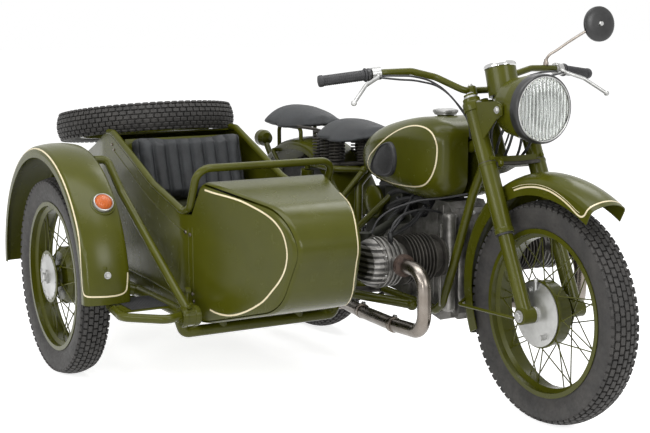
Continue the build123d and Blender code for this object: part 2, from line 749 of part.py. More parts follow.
def plan_outline(inset):
    """Plan view of the shell about its own middle, all faces moved in by inset."""
    half = car_half_width
    right = [(tail_x, -tail_half_width), (-60, -half), (taper_start, -half), (nose_x, -nose_half_width)]
    left = [(x, -y) for x, y in reversed(right)]
    face = make_face(Polyline(*(right + left), close=True))
    bends = [corner for corner in face.vertices() if abs(abs(corner.Y) - half) < 1]
    face = fillet(bends, 240)
    return offset(face, -inset, kind=Kind.INTERSECTION) if inset else face


def shell_block(inset):
    across = extrude(Plane.XZ * side_outline(inset), car_half_width * 2, both=True)
    upright = extrude(plan_outline(inset), 1200)
    return across & upright


def rim_path(radius):
    """The rolled edge of the cockpit, running up into the handrail over the cowl."""
    near = [(x, -side_y, z) for x, z in rim_line + [handrail_foot, handrail_top]]
    far = [(x, side_y, z) for x, z in reversed(rim_line + [handrail_foot, handrail_top])]
    return bent(near + far, radius, [20, 60, 100, 60, 26, 44, 44, 26, 60, 100, 60, 20])


def make_sidecar_body():
    shell = shell_block(0)
    cowl_edges = [edge for edge in shell.edges() if edge.center().X > 800 and edge.center().Z > 650
                  and edge.bounding_box().size.X > 150]
    shell = fillet(cowl_edges, 26)
    cavity = shell_block(car_wall)
    opening = plate([(cockpit_back, 560), (cockpit_front, 560), (cockpit_front, 830), (cockpit_back, 830)],
                    -car_half_width + car_wall, car_half_width - car_wall)
    inside = extrude(plan_outline(car_wall), 1200)
    body = shell - cavity - (opening & inside) - rim_path(handrail_radius + seat_gap)
    shelf = Pos(320, 0, shelf_z - car_wall / 2) * Box(460, 2 * (car_half_width - car_wall), car_wall)
    riser = Pos(550 - car_wall / 2, 0, (car_floor + shelf_z) / 2) * Box(
        car_wall, 2 * (car_half_width - car_wall), shelf_z - car_floor)
    ears = []
    for side in (-1, 1):
        ear = plate([(hinge_x - 16, shelf_z - 2), (hinge_x + 16, shelf_z - 2), (hinge_x + 10, hinge_z + 12),
                     (hinge_x - 10, hinge_z + 12)], -3, 3)
        ears.append(Pos(0, side * ear_y, 0) * ear)
    hinge_bore = rod((hinge_x, -ear_y - 10, hinge_z), (hinge_x, ear_y + 10, hinge_z), pin_radius + bore_gap)
    post = spare_frame * (Pos(0, 0, -130) * Cylinder(axle_radius, 130 + hub_half_width + 24, align=up_from_base)
                          + Pos(0, 0, hub_half_width + 8) * Cylinder(22, 12, align=up_from_base)
                          + Pos(0, 0, -150) * Cylinder(34, 150 - hub_half_width - seat_gap, align=up_from_base))
    body = body + shelf + riser
    body = body + [ear - hinge_bore for ear in ears]
    post = post - Pos(0, 0, 0) * cavity
    return Pos(0, car_y, 0) * (body + post)


# ---- backrest, folding forward over the seat to open the luggage space ----
hinge_x = 150
hinge_z = 525
pin_radius = 6
ear_y = 226
backrest_lean = 16.6
backrest_height = 275
backrest_half = 215
backrest_frame = Plane(origin=(hinge_x, car_y, hinge_z),
                       x_dir=(cos(radians(backrest_lean)), 0, sin(radians(backrest_lean))),
                       z_dir=(-sin(radians(backrest_lean)), 0, cos(radians(backrest_lean))))


def make_backrest_board():
    board = Pos(-11, 0, 10 + backrest_height / 2) * Box(6, 2 * backrest_half, backrest_height - 20)
    parts = []
    for side in (-1, 1):
        parts.append(Pos(-11, side * (backrest_half - 18), 14) * Box(6, 24, 44))
        parts.append(Pos(-4, side * (backrest_half - 18), 0) * Box(14, 24, 2 * pin_radius + 6))
        parts.append(rod((0, side * (backrest_half - 30), 0), (0, side * (ear_y + 8), 0), pin_radius))
    return backrest_frame * (board + parts)


def make_sidecar_backrest():
    height = backrest_height - 30
    block = Pos(30 + seat_gap, 0, 30 + height / 2) * Box(76, 2 * backrest_half, height)
    pad = fillet(block.edges().filter_by(Axis.Y), 18)
    return backrest_frame * pad


def make_sidecar_seat():
    pad = Pos(395, car_y, shelf_z + seat_gap + 35) * Box(310, 2 * backrest_half, 70)
    return fillet(pad.edges().filter_by(Axis.Y).group_by(Axis.Z)[-1], 20)


# ---- spare wheel, flat on the tail ----
spare_middle = (-270, car_y, 815)
spare_tilt = 9
spare_frame = Plane(origin=(spare_middle[0], 0, spare_middle[2]),
                    x_dir=(cos(radians(spare_tilt)), 0, sin(radians(spare_tilt))),
                    z_dir=(-sin(radians(spare_tilt)), 0, cos(radians(spare_tilt))))


def make_spare():
    place = Pos(0, car_y, 0) * spare_frame.location * Rot(90, 0, 0)
    return {"spare_tyre": place * make_tyre(), "spare_rim": place * make_rim(),
            "spare_hub": place * make_hub(False)}


# ---- sidecar chassis ----
outer_rail_y = -900
inner_rail_y = -315
chassis_z = 300
cross_z = 223
chassis_front = 700
chassis_back = -330
clamp_x = 801


def cross_tube(x):
    """Tube that dips under the body between the two rails."""
    outer = outer_rail_y + 26
    inner = inner_rail_y - 8
    return bent([(x, outer_rail_y, chassis_z), (x, outer, cross_z), (x, inner, cross_z),
                 (x, inner_rail_y, chassis_z)], chassis_tube - 2, 24)


brake_inside = -track + hub_half_width + running_gap


def make_sidecar_frame():
    parts = [rod((chassis_back - 20, inner_rail_y, chassis_z), (chassis_front + 60, inner_rail_y, chassis_z),
                 chassis_tube)]
    parts += [cross_tube(x) for x in (chassis_back, sidecar_lead, chassis_front)]
    for x in (chassis_back, sidecar_lead, chassis_front):
        for y in (car_y - 140, car_y + 140):
            parts.append(rod((x, y, cross_z), (x, y, car_floor - seat_gap), 17))
    parts.append(rod((clamp_x, outer_rail_y - 30, chassis_z), (clamp_x, outer_rail_y + 30, chassis_z), 30))
    # struts and arms: end on the rail, ball at the motorcycle, tube radius, ball radius
    ball_y = -rail_half_width - frame_tube - 20 - seat_gap
    links = [((485, inner_rail_y, chassis_z), (655, -6 - 14 - seat_gap, 640), 11, 14),
             ((330, inner_rail_y, chassis_z), (452, -strut_ball_y, 672), 11, 15),
             ((chassis_front + 20, inner_rail_y, chassis_z + 3), (900, ball_y, 271), 16, 20),
             ((330, inner_rail_y, chassis_z), (580, ball_y, 277), 16, 20)]
    for rail_end, ball, radius, ball_radius in links:
        parts.append(rod(rail_end, ball, radius) + Pos(*ball) * Sphere(ball_radius))
    stay_end = -track + car_guard_half + seat_gap
    parts.append(bent([(clamp_x + 4, outer_rail_y - 6, chassis_z + 20), (380, -952, 640), (300, -972, 746),
                       (300, stay_end, 746)], 14, [60, 25]))
    parts.append(bent([(-150, outer_rail_y, chassis_z), (-150, -945, 560), (-120, -975, 646),
                       (-120, stay_end, 646)], 12, [40, 20]))
    parts.append(bent([(380, outer_rail_y, chassis_z), (345, -960, 318), (sidecar_lead, -985, tyre_radius)], 18, 20))
    parts.append(rod((sidecar_lead, -950, tyre_radius), (sidecar_lead, -track - hub_half_width - 22, tyre_radius),
                     axle_radius))
    brake = spun([(0, 0), (drum_radius, 0), (drum_radius, 5), (60, 12), (30, 18), (30, 74), (0, 74)])
    parts.append(Pos(sidecar_lead, brake_inside, tyre_radius) * brake)
    outer_rail = rod((chassis_back - 20, outer_rail_y, chassis_z), (clamp_x + 28, outer_rail_y, chassis_z),
                     chassis_tube)
    return outer_rail + parts


car_guard_radius = 455
car_guard_half = 78


def make_sidecar_fender():
    shell = guard(car_guard_radius, car_guard_half, 12, 46, -2, 182)
    return Pos(sidecar_lead, -track, tyre_radius) * shell


def make_sidecar_lamp():
    angle = 39.6
    offset_y = 22
    crown = car_guard_radius - 12 * (offset_y / car_guard_half) ** 2
    lamp = spun_up([(0, 0), (32, 0), (32, 12), (27, 15), (20, 21), (0, 24)])
    frame = Plane(origin=(sidecar_lead + (crown + 1) * cos(radians(angle)), -track + offset_y,
                          tyre_radius + (crown + 1) * sin(radians(angle))),
                  z_dir=(cos(radians(angle)), 0, sin(radians(angle))))
    return frame * lamp


def make_sidecar_step():
    z = 306
    loop = bent([(542, outer_rail_y - chassis_tube - seat_gap, z), (542, -1068, z), (737, -1096, z), (838, -985, z),
                 (801, outer_rail_y - 20, z)], step_tube, [40, 50, 40])
    loop -= Pos(clamp_x, outer_rail_y - seat_gap, z) * Box(90, 60, 60)
    tread = make_face(Polyline((548, -930), (548, -1062), (722, -1086), (722, -930), close=True))
    return loop + Pos(0, 0, z + 8) * extrude(tread, 5)


def make_all():
    """Every piece by its node's name."""
    parts = make_wheels()
    tank = make_fuel_tank()
    parts.update(make_spare())
    parts.update({
        "fork": make_fork(),
        "front_brake_plate": make_front_brake_plate(),
        "handlebar": make_handlebar(),
        "grips": make_grips(),
        "levers": make_levers(),
        "headlamp": make_headlamp(),
        "headlamp_lens": make_headlamp_lens(),
        "mirror": make_mirror(),
        "front_fender": make_front_fender(),
        "frame": make_frame(),
        "rear_fender": make_rear_fender(),
        "tail_lamp": make_tail_lamp(),
        "swing_arm": make_swing_arm(),
        "rear_shocks": make_rear_shocks(),
        "engine_case": make_engine_case(),
        "gearbox": make_gearbox(),
        "cylinders": make_cylinders(),
        "cylinder_heads": make_cylinder_heads(),
        "exhaust": make_exhaust(),
        "intake": make_intake(),
        "foot_controls": make_foot_controls(),
        "fuel_tank": tank,
        "knee_pads": make_knee_pads(tank),
        "driver_saddle": saddle(190, 560, driver_saddle_low),
        "passenger_saddle": saddle(-240, 172, passenger_saddle_low),
        "saddle_springs": make_saddle_springs(),
        "sidecar_body": make_sidecar_body(),
        "sidecar_rail": Pos(0, car_y, 0) * rim_path(handrail_radius),
        "backrest_board": make_backrest_board(),
        "sidecar_backrest": make_sidecar_backrest(),
        "sidecar_seat": make_sidecar_seat(),
        "sidecar_frame": make_sidecar_frame(),
        "sidecar_fender": make_sidecar_fender(),
        "sidecar_lamp": make_sidecar_lamp(),
        "sidecar_step": make_sidecar_step(),
    })
    return parts


# ---- the whole vehicle, moved so that the origin is the middle of its bottom ----
pieces = make_all()
boxes = [shape.bounding_box() for shape in pieces.values()]
low_x = min(box.min.X for box in boxes)
high_x = max(box.max.X for box in boxes)
low_y = min(box.min.Y for box in boxes)
high_y = max(box.max.Y for box in boxes)
origin = Vector((low_x + high_x) / 2, (low_y + high_y) / 2, 0)

os.makedirs("parts", exist_ok=True)
for name, shape in pieces.items():
    export_step(Pos(-origin.X, -origin.Y, 0) * shape, "parts/" + name + ".step")
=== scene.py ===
import math

import bmesh
import bpy
from mathutils import Matrix, Vector
from mathutils.bvhtree import BVHTree


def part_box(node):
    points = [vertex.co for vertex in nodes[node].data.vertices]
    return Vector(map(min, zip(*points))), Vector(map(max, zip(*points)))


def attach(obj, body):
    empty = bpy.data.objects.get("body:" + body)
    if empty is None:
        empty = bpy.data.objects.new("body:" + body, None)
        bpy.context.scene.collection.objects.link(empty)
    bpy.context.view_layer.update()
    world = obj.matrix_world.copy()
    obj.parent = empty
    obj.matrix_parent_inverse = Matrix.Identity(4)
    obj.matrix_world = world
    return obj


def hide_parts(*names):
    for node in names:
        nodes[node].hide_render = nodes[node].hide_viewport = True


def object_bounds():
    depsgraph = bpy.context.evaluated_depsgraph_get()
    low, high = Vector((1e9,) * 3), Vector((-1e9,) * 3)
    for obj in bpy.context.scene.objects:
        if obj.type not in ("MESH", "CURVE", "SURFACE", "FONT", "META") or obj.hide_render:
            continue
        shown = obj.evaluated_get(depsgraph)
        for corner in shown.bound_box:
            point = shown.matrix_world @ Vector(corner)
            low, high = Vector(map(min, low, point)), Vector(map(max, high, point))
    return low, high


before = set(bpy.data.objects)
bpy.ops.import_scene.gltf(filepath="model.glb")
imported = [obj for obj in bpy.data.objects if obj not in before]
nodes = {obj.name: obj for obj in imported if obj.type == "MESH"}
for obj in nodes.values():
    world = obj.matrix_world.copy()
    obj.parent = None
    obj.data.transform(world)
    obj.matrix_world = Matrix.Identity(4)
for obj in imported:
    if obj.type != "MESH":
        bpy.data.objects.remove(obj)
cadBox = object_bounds()
rearLow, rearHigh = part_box("rear_tyre")
shift = Vector(((rearLow.x + rearHigh.x) / 2, (rearLow.y + rearHigh.y) / 2, 0))
mm = 0.001


def at(x, y, z):
    # millimetres ahead of the rear axle, left of the middle plane, above the ground
    return Vector((x, y, z)) * mm + shift


# materials
def emptyTree(holder):
    holder.use_nodes = True
    holder.node_tree.nodes.clear()
    return holder.node_tree


def addNode(tree, kind, inputs=None, **settings):
    # inputs: for each name or number of an input, a socket to link or a plain value
    node = tree.nodes.new(kind)
    for label, value in settings.items():
        setattr(node, label, value)
    for label, value in (inputs or {}).items():
        if isinstance(value, bpy.types.NodeSocket):
            tree.links.new(value, node.inputs[label])
        else:
            node.inputs[label].default_value = value
    return node


def newMaterial(name):
    material = bpy.data.materials.new(name)
    tree = emptyTree(material)
    shader = addNode(tree, "ShaderNodeBsdfPrincipled")
    addNode(tree, "ShaderNodeOutputMaterial", {0: shader.outputs[0]})
    return material, tree, shader


def coords(tree):
    return addNode(tree, "ShaderNodeTexCoord").outputs["Object"]


def noise(tree, vector, scale, detail=3.0, roughness=0.5):
    inputs = {"Vector": vector, "Scale": scale, "Detail": detail, "Roughness": roughness}
    return addNode(tree, "ShaderNodeTexNoise", inputs).outputs["Fac"]


def ramp(tree, value, stops):
    # two stops: place and colour of each
    node = addNode(tree, "ShaderNodeValToRGB", {0: value})
    for element, (place, colour) in zip(node.color_ramp.elements, stops):
        element.position = place
        element.color = (*colour, 1)
    return node.outputs[0]


def grey(level):
    return (level, level, level)


def bumpFrom(tree, shader, height, strength, distance, under=None):
    node = addNode(tree, "ShaderNodeBump", {"Height": height, "Strength": strength, "Distance": distance})
    if under:
        tree.links.new(under, node.inputs["Normal"])
    tree.links.new(node.outputs[0], shader.inputs["Normal"])
    return node.outputs[0]


# colours dark and light, scale of the mottle, metallic, roughness low and high, then scale, strength and depth
# of the fine bump, and an IOR where it is not 1.5
finishes = {
    "greenPaint": dict(dark=(0.054, 0.057, 0.0028), light=(0.070, 0.073, 0.0045), mottle=5, metal=0,
                       rough=(0.21, 0.29), grain=260, bump=0.015, depth=0.0003, bend=1.3),
    "creamLine": dict(dark=(0.72, 0.62, 0.40), light=(0.82, 0.73, 0.50), mottle=30, metal=0,
                      rough=(0.3, 0.4), grain=300, bump=0.04, depth=0.0004),
    "castAlloy": dict(dark=(0.09, 0.087, 0.08), light=(0.31, 0.30, 0.285), mottle=16, metal=0.85,
                      rough=(0.36, 0.6), grain=520, bump=0.35, depth=0.0007),
    "plainAlloy": dict(dark=(0.30, 0.30, 0.29), light=(0.50, 0.50, 0.49), mottle=9, metal=0.85,
                       rough=(0.3, 0.45), grain=700, bump=0.12, depth=0.0004),
    "reflector": dict(dark=(0.34, 0.32, 0.28), light=(0.60, 0.58, 0.54), mottle=12, metal=1,
                      rough=(0.10, 0.2), grain=60, bump=0.1, depth=0.002),
    "darkIron": dict(dark=(0.022, 0.020, 0.017), light=(0.085, 0.078, 0.068), mottle=22, metal=0.6,
                     rough=(0.5, 0.75), grain=600, bump=0.4, depth=0.0006),
    "polishedSteel": dict(dark=(0.13, 0.108, 0.088), light=(0.27, 0.245, 0.22), mottle=6, metal=1,
                          rough=(0.22, 0.34), grain=180, bump=0.03, depth=0.0005),
    "rustySteel": dict(dark=(0.020, 0.011, 0.008), light=(0.075, 0.047, 0.035), mottle=60, metal=0.4,
                       rough=(0.5, 0.8), grain=500, bump=0.5, depth=0.0008),
    "chrome": dict(dark=(0.46, 0.46, 0.45), light=(0.66, 0.66, 0.65), mottle=6, metal=1,
                   rough=(0.06, 0.14), grain=90, bump=0.03, depth=0.0004),
    "blackRubber": dict(dark=(0.010, 0.010, 0.011), light=(0.026, 0.026, 0.028), mottle=40, metal=0,
                        rough=(0.42, 0.6), grain=900, bump=0.3, depth=0.0005),
    "tyreRubber": dict(dark=(0.016, 0.015, 0.014), light=(0.040, 0.037, 0.034), mottle=24, metal=0,
                       rough=(0.55, 0.8), grain=620, bump=0.45, depth=0.0007),
    "blackPlastic": dict(dark=(0.010, 0.010, 0.010), light=(0.022, 0.022, 0.022), mottle=30, metal=0,
                         rough=(0.3, 0.42), grain=500, bump=0.15, depth=0.0004),
    "darkPaint": dict(dark=(0.014, 0.015, 0.010), light=(0.035, 0.036, 0.026), mottle=18, metal=0.2,
                      rough=(0.4, 0.6), grain=400, bump=0.2, depth=0.0005),
}


def makeFinish(name, dark, light, mottle, metal, rough, grain, bump, depth, bend=1.5):
    material, tree, shader = newMaterial(name)
    vector = coords(tree)
    broad = noise(tree, vector, mottle, 5, 0.6)
    tree.links.new(ramp(tree, broad, [(0.32, dark), (0.68, light)]), shader.inputs["Base Color"])
    shader.inputs["Metallic"].default_value = metal
    worn = noise(tree, vector, mottle * 3.7, 4, 0.65)
    tree.links.new(ramp(tree, worn, [(0.3, grey(rough[0])), (0.7, grey(rough[1]))]), shader.inputs["Roughness"])
    bumpFrom(tree, shader, noise(tree, vector, grain, 3, 0.6), bump, depth)
    shader.inputs["Specular IOR Level"].default_value = 0.5
    shader.inputs["IOR"].default_value = bend
    return material


finish = {name: makeFinish(name, **values) for name, values in finishes.items()}
green, cream, iron, darkPaint = (finish[name] for name in ("greenPaint", "creamLine", "darkIron", "darkPaint"))
castAlloy, plainAlloy, chrome, steel = (finish[name] for name in ("castAlloy", "plainAlloy", "chrome", "polishedSteel"))
rubber, tyreRubber, plastic = (finish[name] for name in ("blackRubber", "tyreRubber", "blackPlastic"))

leatherValues = {"creaseScale": 300, "creaseWidth": 0.16, "mottle": 16, "foldScale": 34,
                 "dark": (0.009, 0.010, 0.011), "light": (0.034, 0.037, 0.040), "rough": (0.42, 0.58), "shine": 0.4}


def makeLeather(name):
    v = leatherValues
    material, tree, shader = newMaterial(name)
    vector = coords(tree)
    cells = addNode(tree, "ShaderNodeTexVoronoi", {"Vector": vector, "Scale": v["creaseScale"]},
                    feature="DISTANCE_TO_EDGE")
    creases = ramp(tree, cells.outputs["Distance"], [(0.0, grey(0)), (v["creaseWidth"], grey(1))])
    broad = noise(tree, vector, v["mottle"], 5, 0.65)
    tree.links.new(ramp(tree, broad, [(0.3, v["dark"]), (0.72, v["light"])]), shader.inputs["Base Color"])
    low, high = v["rough"]
    tree.links.new(ramp(tree, broad, [(0.25, grey(low)), (0.75, grey(high))]), shader.inputs["Roughness"])
    folds = bumpFrom(tree, shader, noise(tree, vector, v["foldScale"], 4, 0.6), 0.22, 0.003)
    bumpFrom(tree, shader, creases, 0.6, 0.0011, folds)
    shader.inputs["Specular IOR Level"].default_value = v["shine"]
    return material


# the rocker covers' ribs: their pitch, the middle one's height, how far out they start, how dark the painted shade
# between them is
ribValues = {"pitch": 0.018, "height": 0.452, "start": 0.353, "shadeBetween": 0.24}


def mathNode(tree, operation, first, second=0.5):
    return addNode(tree, "ShaderNodeMath", {0: first, 1: second}, operation=operation).outputs[0]


def waves(tree, vector, direction, scale, phase=0.0):
    inputs = {"Vector": vector, "Scale": scale, "Distortion": 0.0, "Phase Offset": phase}
    return addNode(tree, "ShaderNodeTexWave", inputs, bands_direction=direction).outputs["Fac"]


def makeRibbedAlloy():
    # cast alloy with painted shade, a darker colour, between the ribs, which stand at even steps of height
    v = ribValues
    material = makeFinish("ribbedAlloy", **finishes["castAlloy"])
    tree = material.node_tree
    shader = next(node for node in tree.nodes if node.type == "BSDF_PRINCIPLED")
    plain = shader.inputs["Base Color"].links[0].from_socket
    place = coords(tree)
    turns = 2 * math.pi / v["pitch"]
    phase = (math.pi - turns * v["height"]) % (2 * math.pi)
    # painted shade: bands of darker colour between the ribs, only on the outer part of the heads
    # the wave node multiplies the height by 20
    ribShade = ramp(tree, waves(tree, place, "Z", turns / 20, phase), [(0.22, grey(v["shadeBetween"])), (0.48, grey(1))])
    across = addNode(tree, "ShaderNodeSeparateXYZ", {0: place}).outputs["Y"]
    away = mathNode(tree, "ABSOLUTE", mathNode(tree, "SUBTRACT", across, shift.y))
    beyond = mathNode(tree, "GREATER_THAN", away, v["start"])
    mix = addNode(tree, "ShaderNodeMix", {"Factor": beyond, "A": plain, "B": ribShade}, data_type="RGBA",
                  blend_type="MULTIPLY")
    tree.links.new(mix.outputs["Result"], shader.inputs["Base Color"])
    return material


finish["ribbedAlloy"] = makeRibbedAlloy()
leather = makeLeather("blackLeather")


def makeLens(name, colour, clear, rough, flute):
    material, tree, shader = newMaterial(name)
    shader.inputs["Base Color"].default_value = (*colour, 1)
    shader.inputs["Roughness"].default_value = rough
    shader.inputs["IOR"].default_value = 1.5
    shader.inputs["Transmission Weight"].default_value = clear
    bumpFrom(tree, shader, waves(tree, coords(tree), "Y", flute), 0.5, 0.0025)
    return material


lampGlass = makeLens("lampGlass", (0.93, 0.95, 0.93), 1.0, 0.03, 24)
amberGlass = makeLens("amberGlass", (0.50, 0.095, 0.002), 0.0, 0.25, 60)
redGlass = makeLens("redGlass", (0.25, 0.008, 0.005), 0.0, 0.25, 60)

nodeFinishes = [
    ("greenPaint", "backrest_board fork frame front_fender front_hub front_rim fuel_tank headlamp handlebar "
                   "rear_fender rear_hub rear_rim rear_shocks sidecar_body sidecar_fender sidecar_frame sidecar_rail "
                   "sidecar_rim sidecar_step spare_hub spare_rim swing_arm tail_lamp"),
    ("castAlloy", "engine_case gearbox"),
    ("ribbedAlloy", "cylinder_heads"),
    ("plainAlloy", "front_brake_plate sidecar_hub levers"),
    ("darkIron", "cylinders saddle_springs foot_controls"),
    ("darkPaint", "intake"),
    ("polishedSteel", "exhaust"),
    ("blackRubber", "grips knee_pads driver_saddle passenger_saddle sidecar_seat sidecar_backrest"),
    ("tyreRubber", "front_tyre rear_tyre sidecar_tyre spare_tyre"),
    ("blackPlastic", "mirror"),
]


def dress(data, material):
    data.materials.clear()
    data.materials.append(material)


for finishName, names in nodeFinishes:
    for nodeName in names.split():
        dress(nodes[nodeName].data, finish[finishName])
dress(nodes["headlamp_lens"].data, lampGlass)
dress(nodes["sidecar_lamp"].data, amberGlass)


def dressInside(name, material, edge):
    # the faces of a node to the left of edge, in millimetres, get a second material
    data = nodes[name].data
    data.materials.append(material)
    for face in data.polygons:
        if face.center.y > at(0, edge, 0).y:
            face.material_index = 1


dressInside("sidecar_hub", green, -1147)
print("stage: materials")


# mesh helpers
def placed(name, data):
    thing = bpy.data.objects.new(name, data)
    bpy.context.scene.collection.objects.link(thing)
    return thing


def meshObject(name, verts, faces, material, smooth=True):
    data = bpy.data.meshes.new(name)
    data.from_pydata([tuple(v) for v in verts], [], faces)
    data.materials.append(material)
    built = bmesh.new()
    built.from_mesh(data)
    bmesh.ops.remove_doubles(built, verts=built.verts, dist=1e-6)
    bmesh.ops.recalc_face_normals(built, faces=built.faces)
    built.to_mesh(data)
    built.free()
    if smooth:
        data.shade_smooth()
        data.set_sharp_from_angle(angle=math.radians(38))
    return placed(name, data)


def bakedMesh(source, name):
    # the evaluated shape as a plain mesh in a new object, and the source removed
    bpy.context.view_layer.update()
    graph = bpy.context.evaluated_depsgraph_get()
    data = bpy.data.meshes.new_from_object(source.evaluated_get(graph), depsgraph=graph)
    data.transform(source.matrix_world)
    piece = placed(name, data)
    bpy.data.objects.remove(source)
    return piece


def axes(direction):
    forward = Vector(direction).normalized()
    side = forward.orthogonal().normalized()
    return side, forward.cross(side), forward


def lathe(name, outline, centre, direction, material, segments=48):
    # outline: radius and distance along the direction, in millimetres, from one end to the other
    side, up, forward = axes(direction)
    verts, faces = [], []
    for radius, along in outline:
        for step in range(segments):
            angle = 2 * math.pi * step / segments
            verts.append(centre + (side * math.cos(angle) + up * math.sin(angle)) * radius * mm + forward * along * mm)
    for ring in range(len(outline) - 1):
        for step in range(segments):
            following = (step + 1) % segments
            faces.append((ring * segments + step, ring * segments + following,
                          (ring + 1) * segments + following, (ring + 1) * segments + step))
    for ring, (radius, along) in ((0, outline[0]), (len(outline) - 1, outline[-1])):
        if radius > 0.01 and outline[0] != outline[-1]:
            faces.append([ring * segments + step for step in range(segments)])
    return meshObject(name, verts, faces, material)


def tube(name, points, radius, material, smoothLine=True, sides=12, closed=False):
    curve = bpy.data.curves.new(name, "CURVE")
    curve.dimensions = "3D"
    curve.bevel_depth = radius * mm
    curve.bevel_resolution = max(1, sides // 4 - 1)
    curve.use_fill_caps = True
    curve.resolution_u = 8
    if smoothLine:
        spline = curve.splines.new("BEZIER")
        spline.bezier_points.add(len(points) - 1)
        for target, point in zip(spline.bezier_points, points):
            target.co = point
            target.handle_left_type = target.handle_right_type = "AUTO"
    else:
        spline = curve.splines.new("POLY")
        spline.points.add(len(points) - 1)
        for target, point in zip(spline.points, points):
            target.co = (*point, 1)
    spline.use_cyclic_u = closed
    curve.materials.append(material)
    piece = bakedMesh(placed(name, curve), name)
    piece.data.shade_smooth()
    return piece


def joined(name, pieces):
    together = bmesh.new()
    materials = []
    for piece in pieces:
        slots = []
        for material in piece.data.materials:
            if material not in materials:
                materials.append(material)
            slots.append(materials.index(material))
        before = len(together.faces)
        together.from_mesh(piece.data)
        together.faces.ensure_lookup_table()
        for face in together.faces[before:]:
            face.material_index = slots[min(face.material_index, len(slots) - 1)]
        bpy.data.objects.remove(piece)
    data = bpy.data.meshes.new(name)
    together.to_mesh(data)
    together.free()
    for material in materials:
        data.materials.append(material)
    return placed(name, data)


def hand(piece, body, slot, *replaced):
    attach(piece, body)
    if replaced:
        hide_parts(*replaced)
    return piece


def handJoined(name, pieces, *handing):
    return hand(joined(name, pieces), *handing)


def surfaceOf(*names):
    together = bmesh.new()
    for name in names:
        together.from_mesh(nodes[name].data)
    tree = BVHTree.FromBMesh(together)
    together.free()
    return tree


# geometry nodes: a form repeated round an axis
def newTree(name, **sockets):
    # a tree with one named input for each socket and a material, its inputs, and a way to add to it
    tree = bpy.data.node_groups.new(name, "GeometryNodeTree")
    tree.is_modifier = True
    for label, kind in (*sockets.items(), ("Material", "Material")):
        tree.interface.new_socket(label, in_out="INPUT", socket_type="NodeSocket" + kind)
    tree.interface.new_socket("Geometry", in_out="OUTPUT", socket_type="NodeSocketGeometry")
    return tree, addNode(tree, "NodeGroupInput").outputs, lambda kind, inputs: addNode(tree, kind, inputs).outputs[0]


def endTree(tree, given, add, instances):
    real = add("GeometryNodeRealizeInstances", {"Geometry": instances})
    painted = add("GeometryNodeSetMaterial", {"Geometry": real, "Material": given["Material"]})
    addNode(tree, "NodeGroupOutput", {0: painted})


def buildBlockRing():
    # rounded blocks round the X axis; Size is x along the axis, y round it and z outwards
    tree, given, add = newTree("blockRing", Count="Int", Radius="Float", Size="Vector", Tilt="Float", Phase="Float",
                               Along="Float")
    circle = add("GeometryNodeMeshCircle", {"Vertices": given["Count"], "Radius": given["Radius"]})
    upright = add("GeometryNodeTransform", {"Geometry": circle, "Rotation": (0, math.pi / 2, 0)})
    tilt = add("ShaderNodeCombineXYZ", {"Y": given["Tilt"]})
    block = add("GeometryNodeMeshCube", {"Size": given["Size"]})
    lean = add("GeometryNodeTransform", {"Geometry": block, "Rotation": tilt})
    outward = addNode(tree, "FunctionNodeAlignRotationToVector", {"Vector": add("GeometryNodeInputPosition", {})},
                      axis="Z", pivot_axis="X").outputs[0]
    spread = add("GeometryNodeInstanceOnPoints", {"Points": upright, "Instance": lean, "Rotation": outward})
    spin, away = (add("ShaderNodeCombineXYZ", {"X": given[label]}) for label in ("Phase", "Along"))
    endTree(tree, given, add, add("GeometryNodeTransform", {"Geometry": spread, "Rotation": spin, "Translation": away}))
    return tree


def runTree(tree, name, bevel=0.0, **values):
    holder = placed(name, bpy.data.meshes.new(name))
    modifier = holder.modifiers.new("nodes", "NODES")
    modifier.node_group = tree
    for item in tree.interface.items_tree:
        if item.in_out == "INPUT" and item.name in values:
            modifier[item.identifier] = values[item.name]
    if bevel:
        edges = holder.modifiers.new("edges", "BEVEL")
        edges.width = bevel
        edges.segments = 1
        edges.limit_method = "ANGLE"
    return bakedMesh(holder, name)


blockRing = buildBlockRing()


def turnedToAxle(piece, centre):
    # what was built about the X axis at the origin goes about Y at the wheel's centre
    piece.data.transform(Matrix.Translation(centre) @ Matrix.Rotation(math.pi / 2, 4, "Z"))
    return piece


# tyres
tyreValues = {"radius": 340, "half": 50, "base": 331.5, "drop": 11, "bead": 245.3, "beadHalf": 37,
              "wallSteps": 14, "wallLow": 270, "wallHigh": 334, "segments": 120, "blockBevel": 0.0014}
# rows of tread blocks: place across, width across, length round, height, count, half step
treadRows = [
    (0, 13.5, 23, 10, 76, 0.0),
    (-16.5, 13.5, 23, 10, 76, 0.5),
    (16.5, 13.5, 23, 10, 76, 0.5),
    (-32, 13, 22, 10, 76, 0.0),
    (32, 13, 22, 10, 76, 0.0),
    (-44.5, 9, 20, 15, 76, 0.5),
    (44.5, 9, 20, 15, 76, 0.5),
]


def tyreOutline():
    v = tyreValues
    points = [(v["bead"], -v["beadHalf"]), (v["bead"] + 12, -v["beadHalf"] - 0.5)]
    for step in range(v["wallSteps"] + 1):
        share = step / v["wallSteps"]
        points.append((v["wallLow"] + (v["wallHigh"] - v["wallLow"]) * share, -v["half"] + 22.4 * (share - 0.52) ** 2))
    crown = [(v["base"] - 8.5 * (across / 44) ** 2, across) for across in (-42, -34, -24, -12, 0, 12, 24, 34, 42)]
    left = [p for p in points if p[0] < v["base"] - 9]
    right = [(radius, -across) for radius, across in reversed(left)]
    return left + crown + right + [left[0]]


def makeTread(name, material):
    v = tyreValues
    parts = [lathe(name + "Carcass", tyreOutline(), Vector((0, 0, 0)), (1, 0, 0), material, v["segments"])]
    for across, width, length, height, count, halfStep in treadRows:
        outer = v["radius"] - v["drop"] * (across / 46) ** 2 - 0.6
        tilt = math.atan(2 * v["drop"] * across / 46 ** 2)
        parts.append(runTree(blockRing, name + "Row", v["blockBevel"], Count=count, Radius=(outer - height / 2) * mm,
                             Size=(width * mm, length * mm, height * mm), Tilt=tilt * 1.15,
                             Phase=2 * math.pi * halfStep / count, Along=across * mm, Material=material))
    return joined(name, parts)


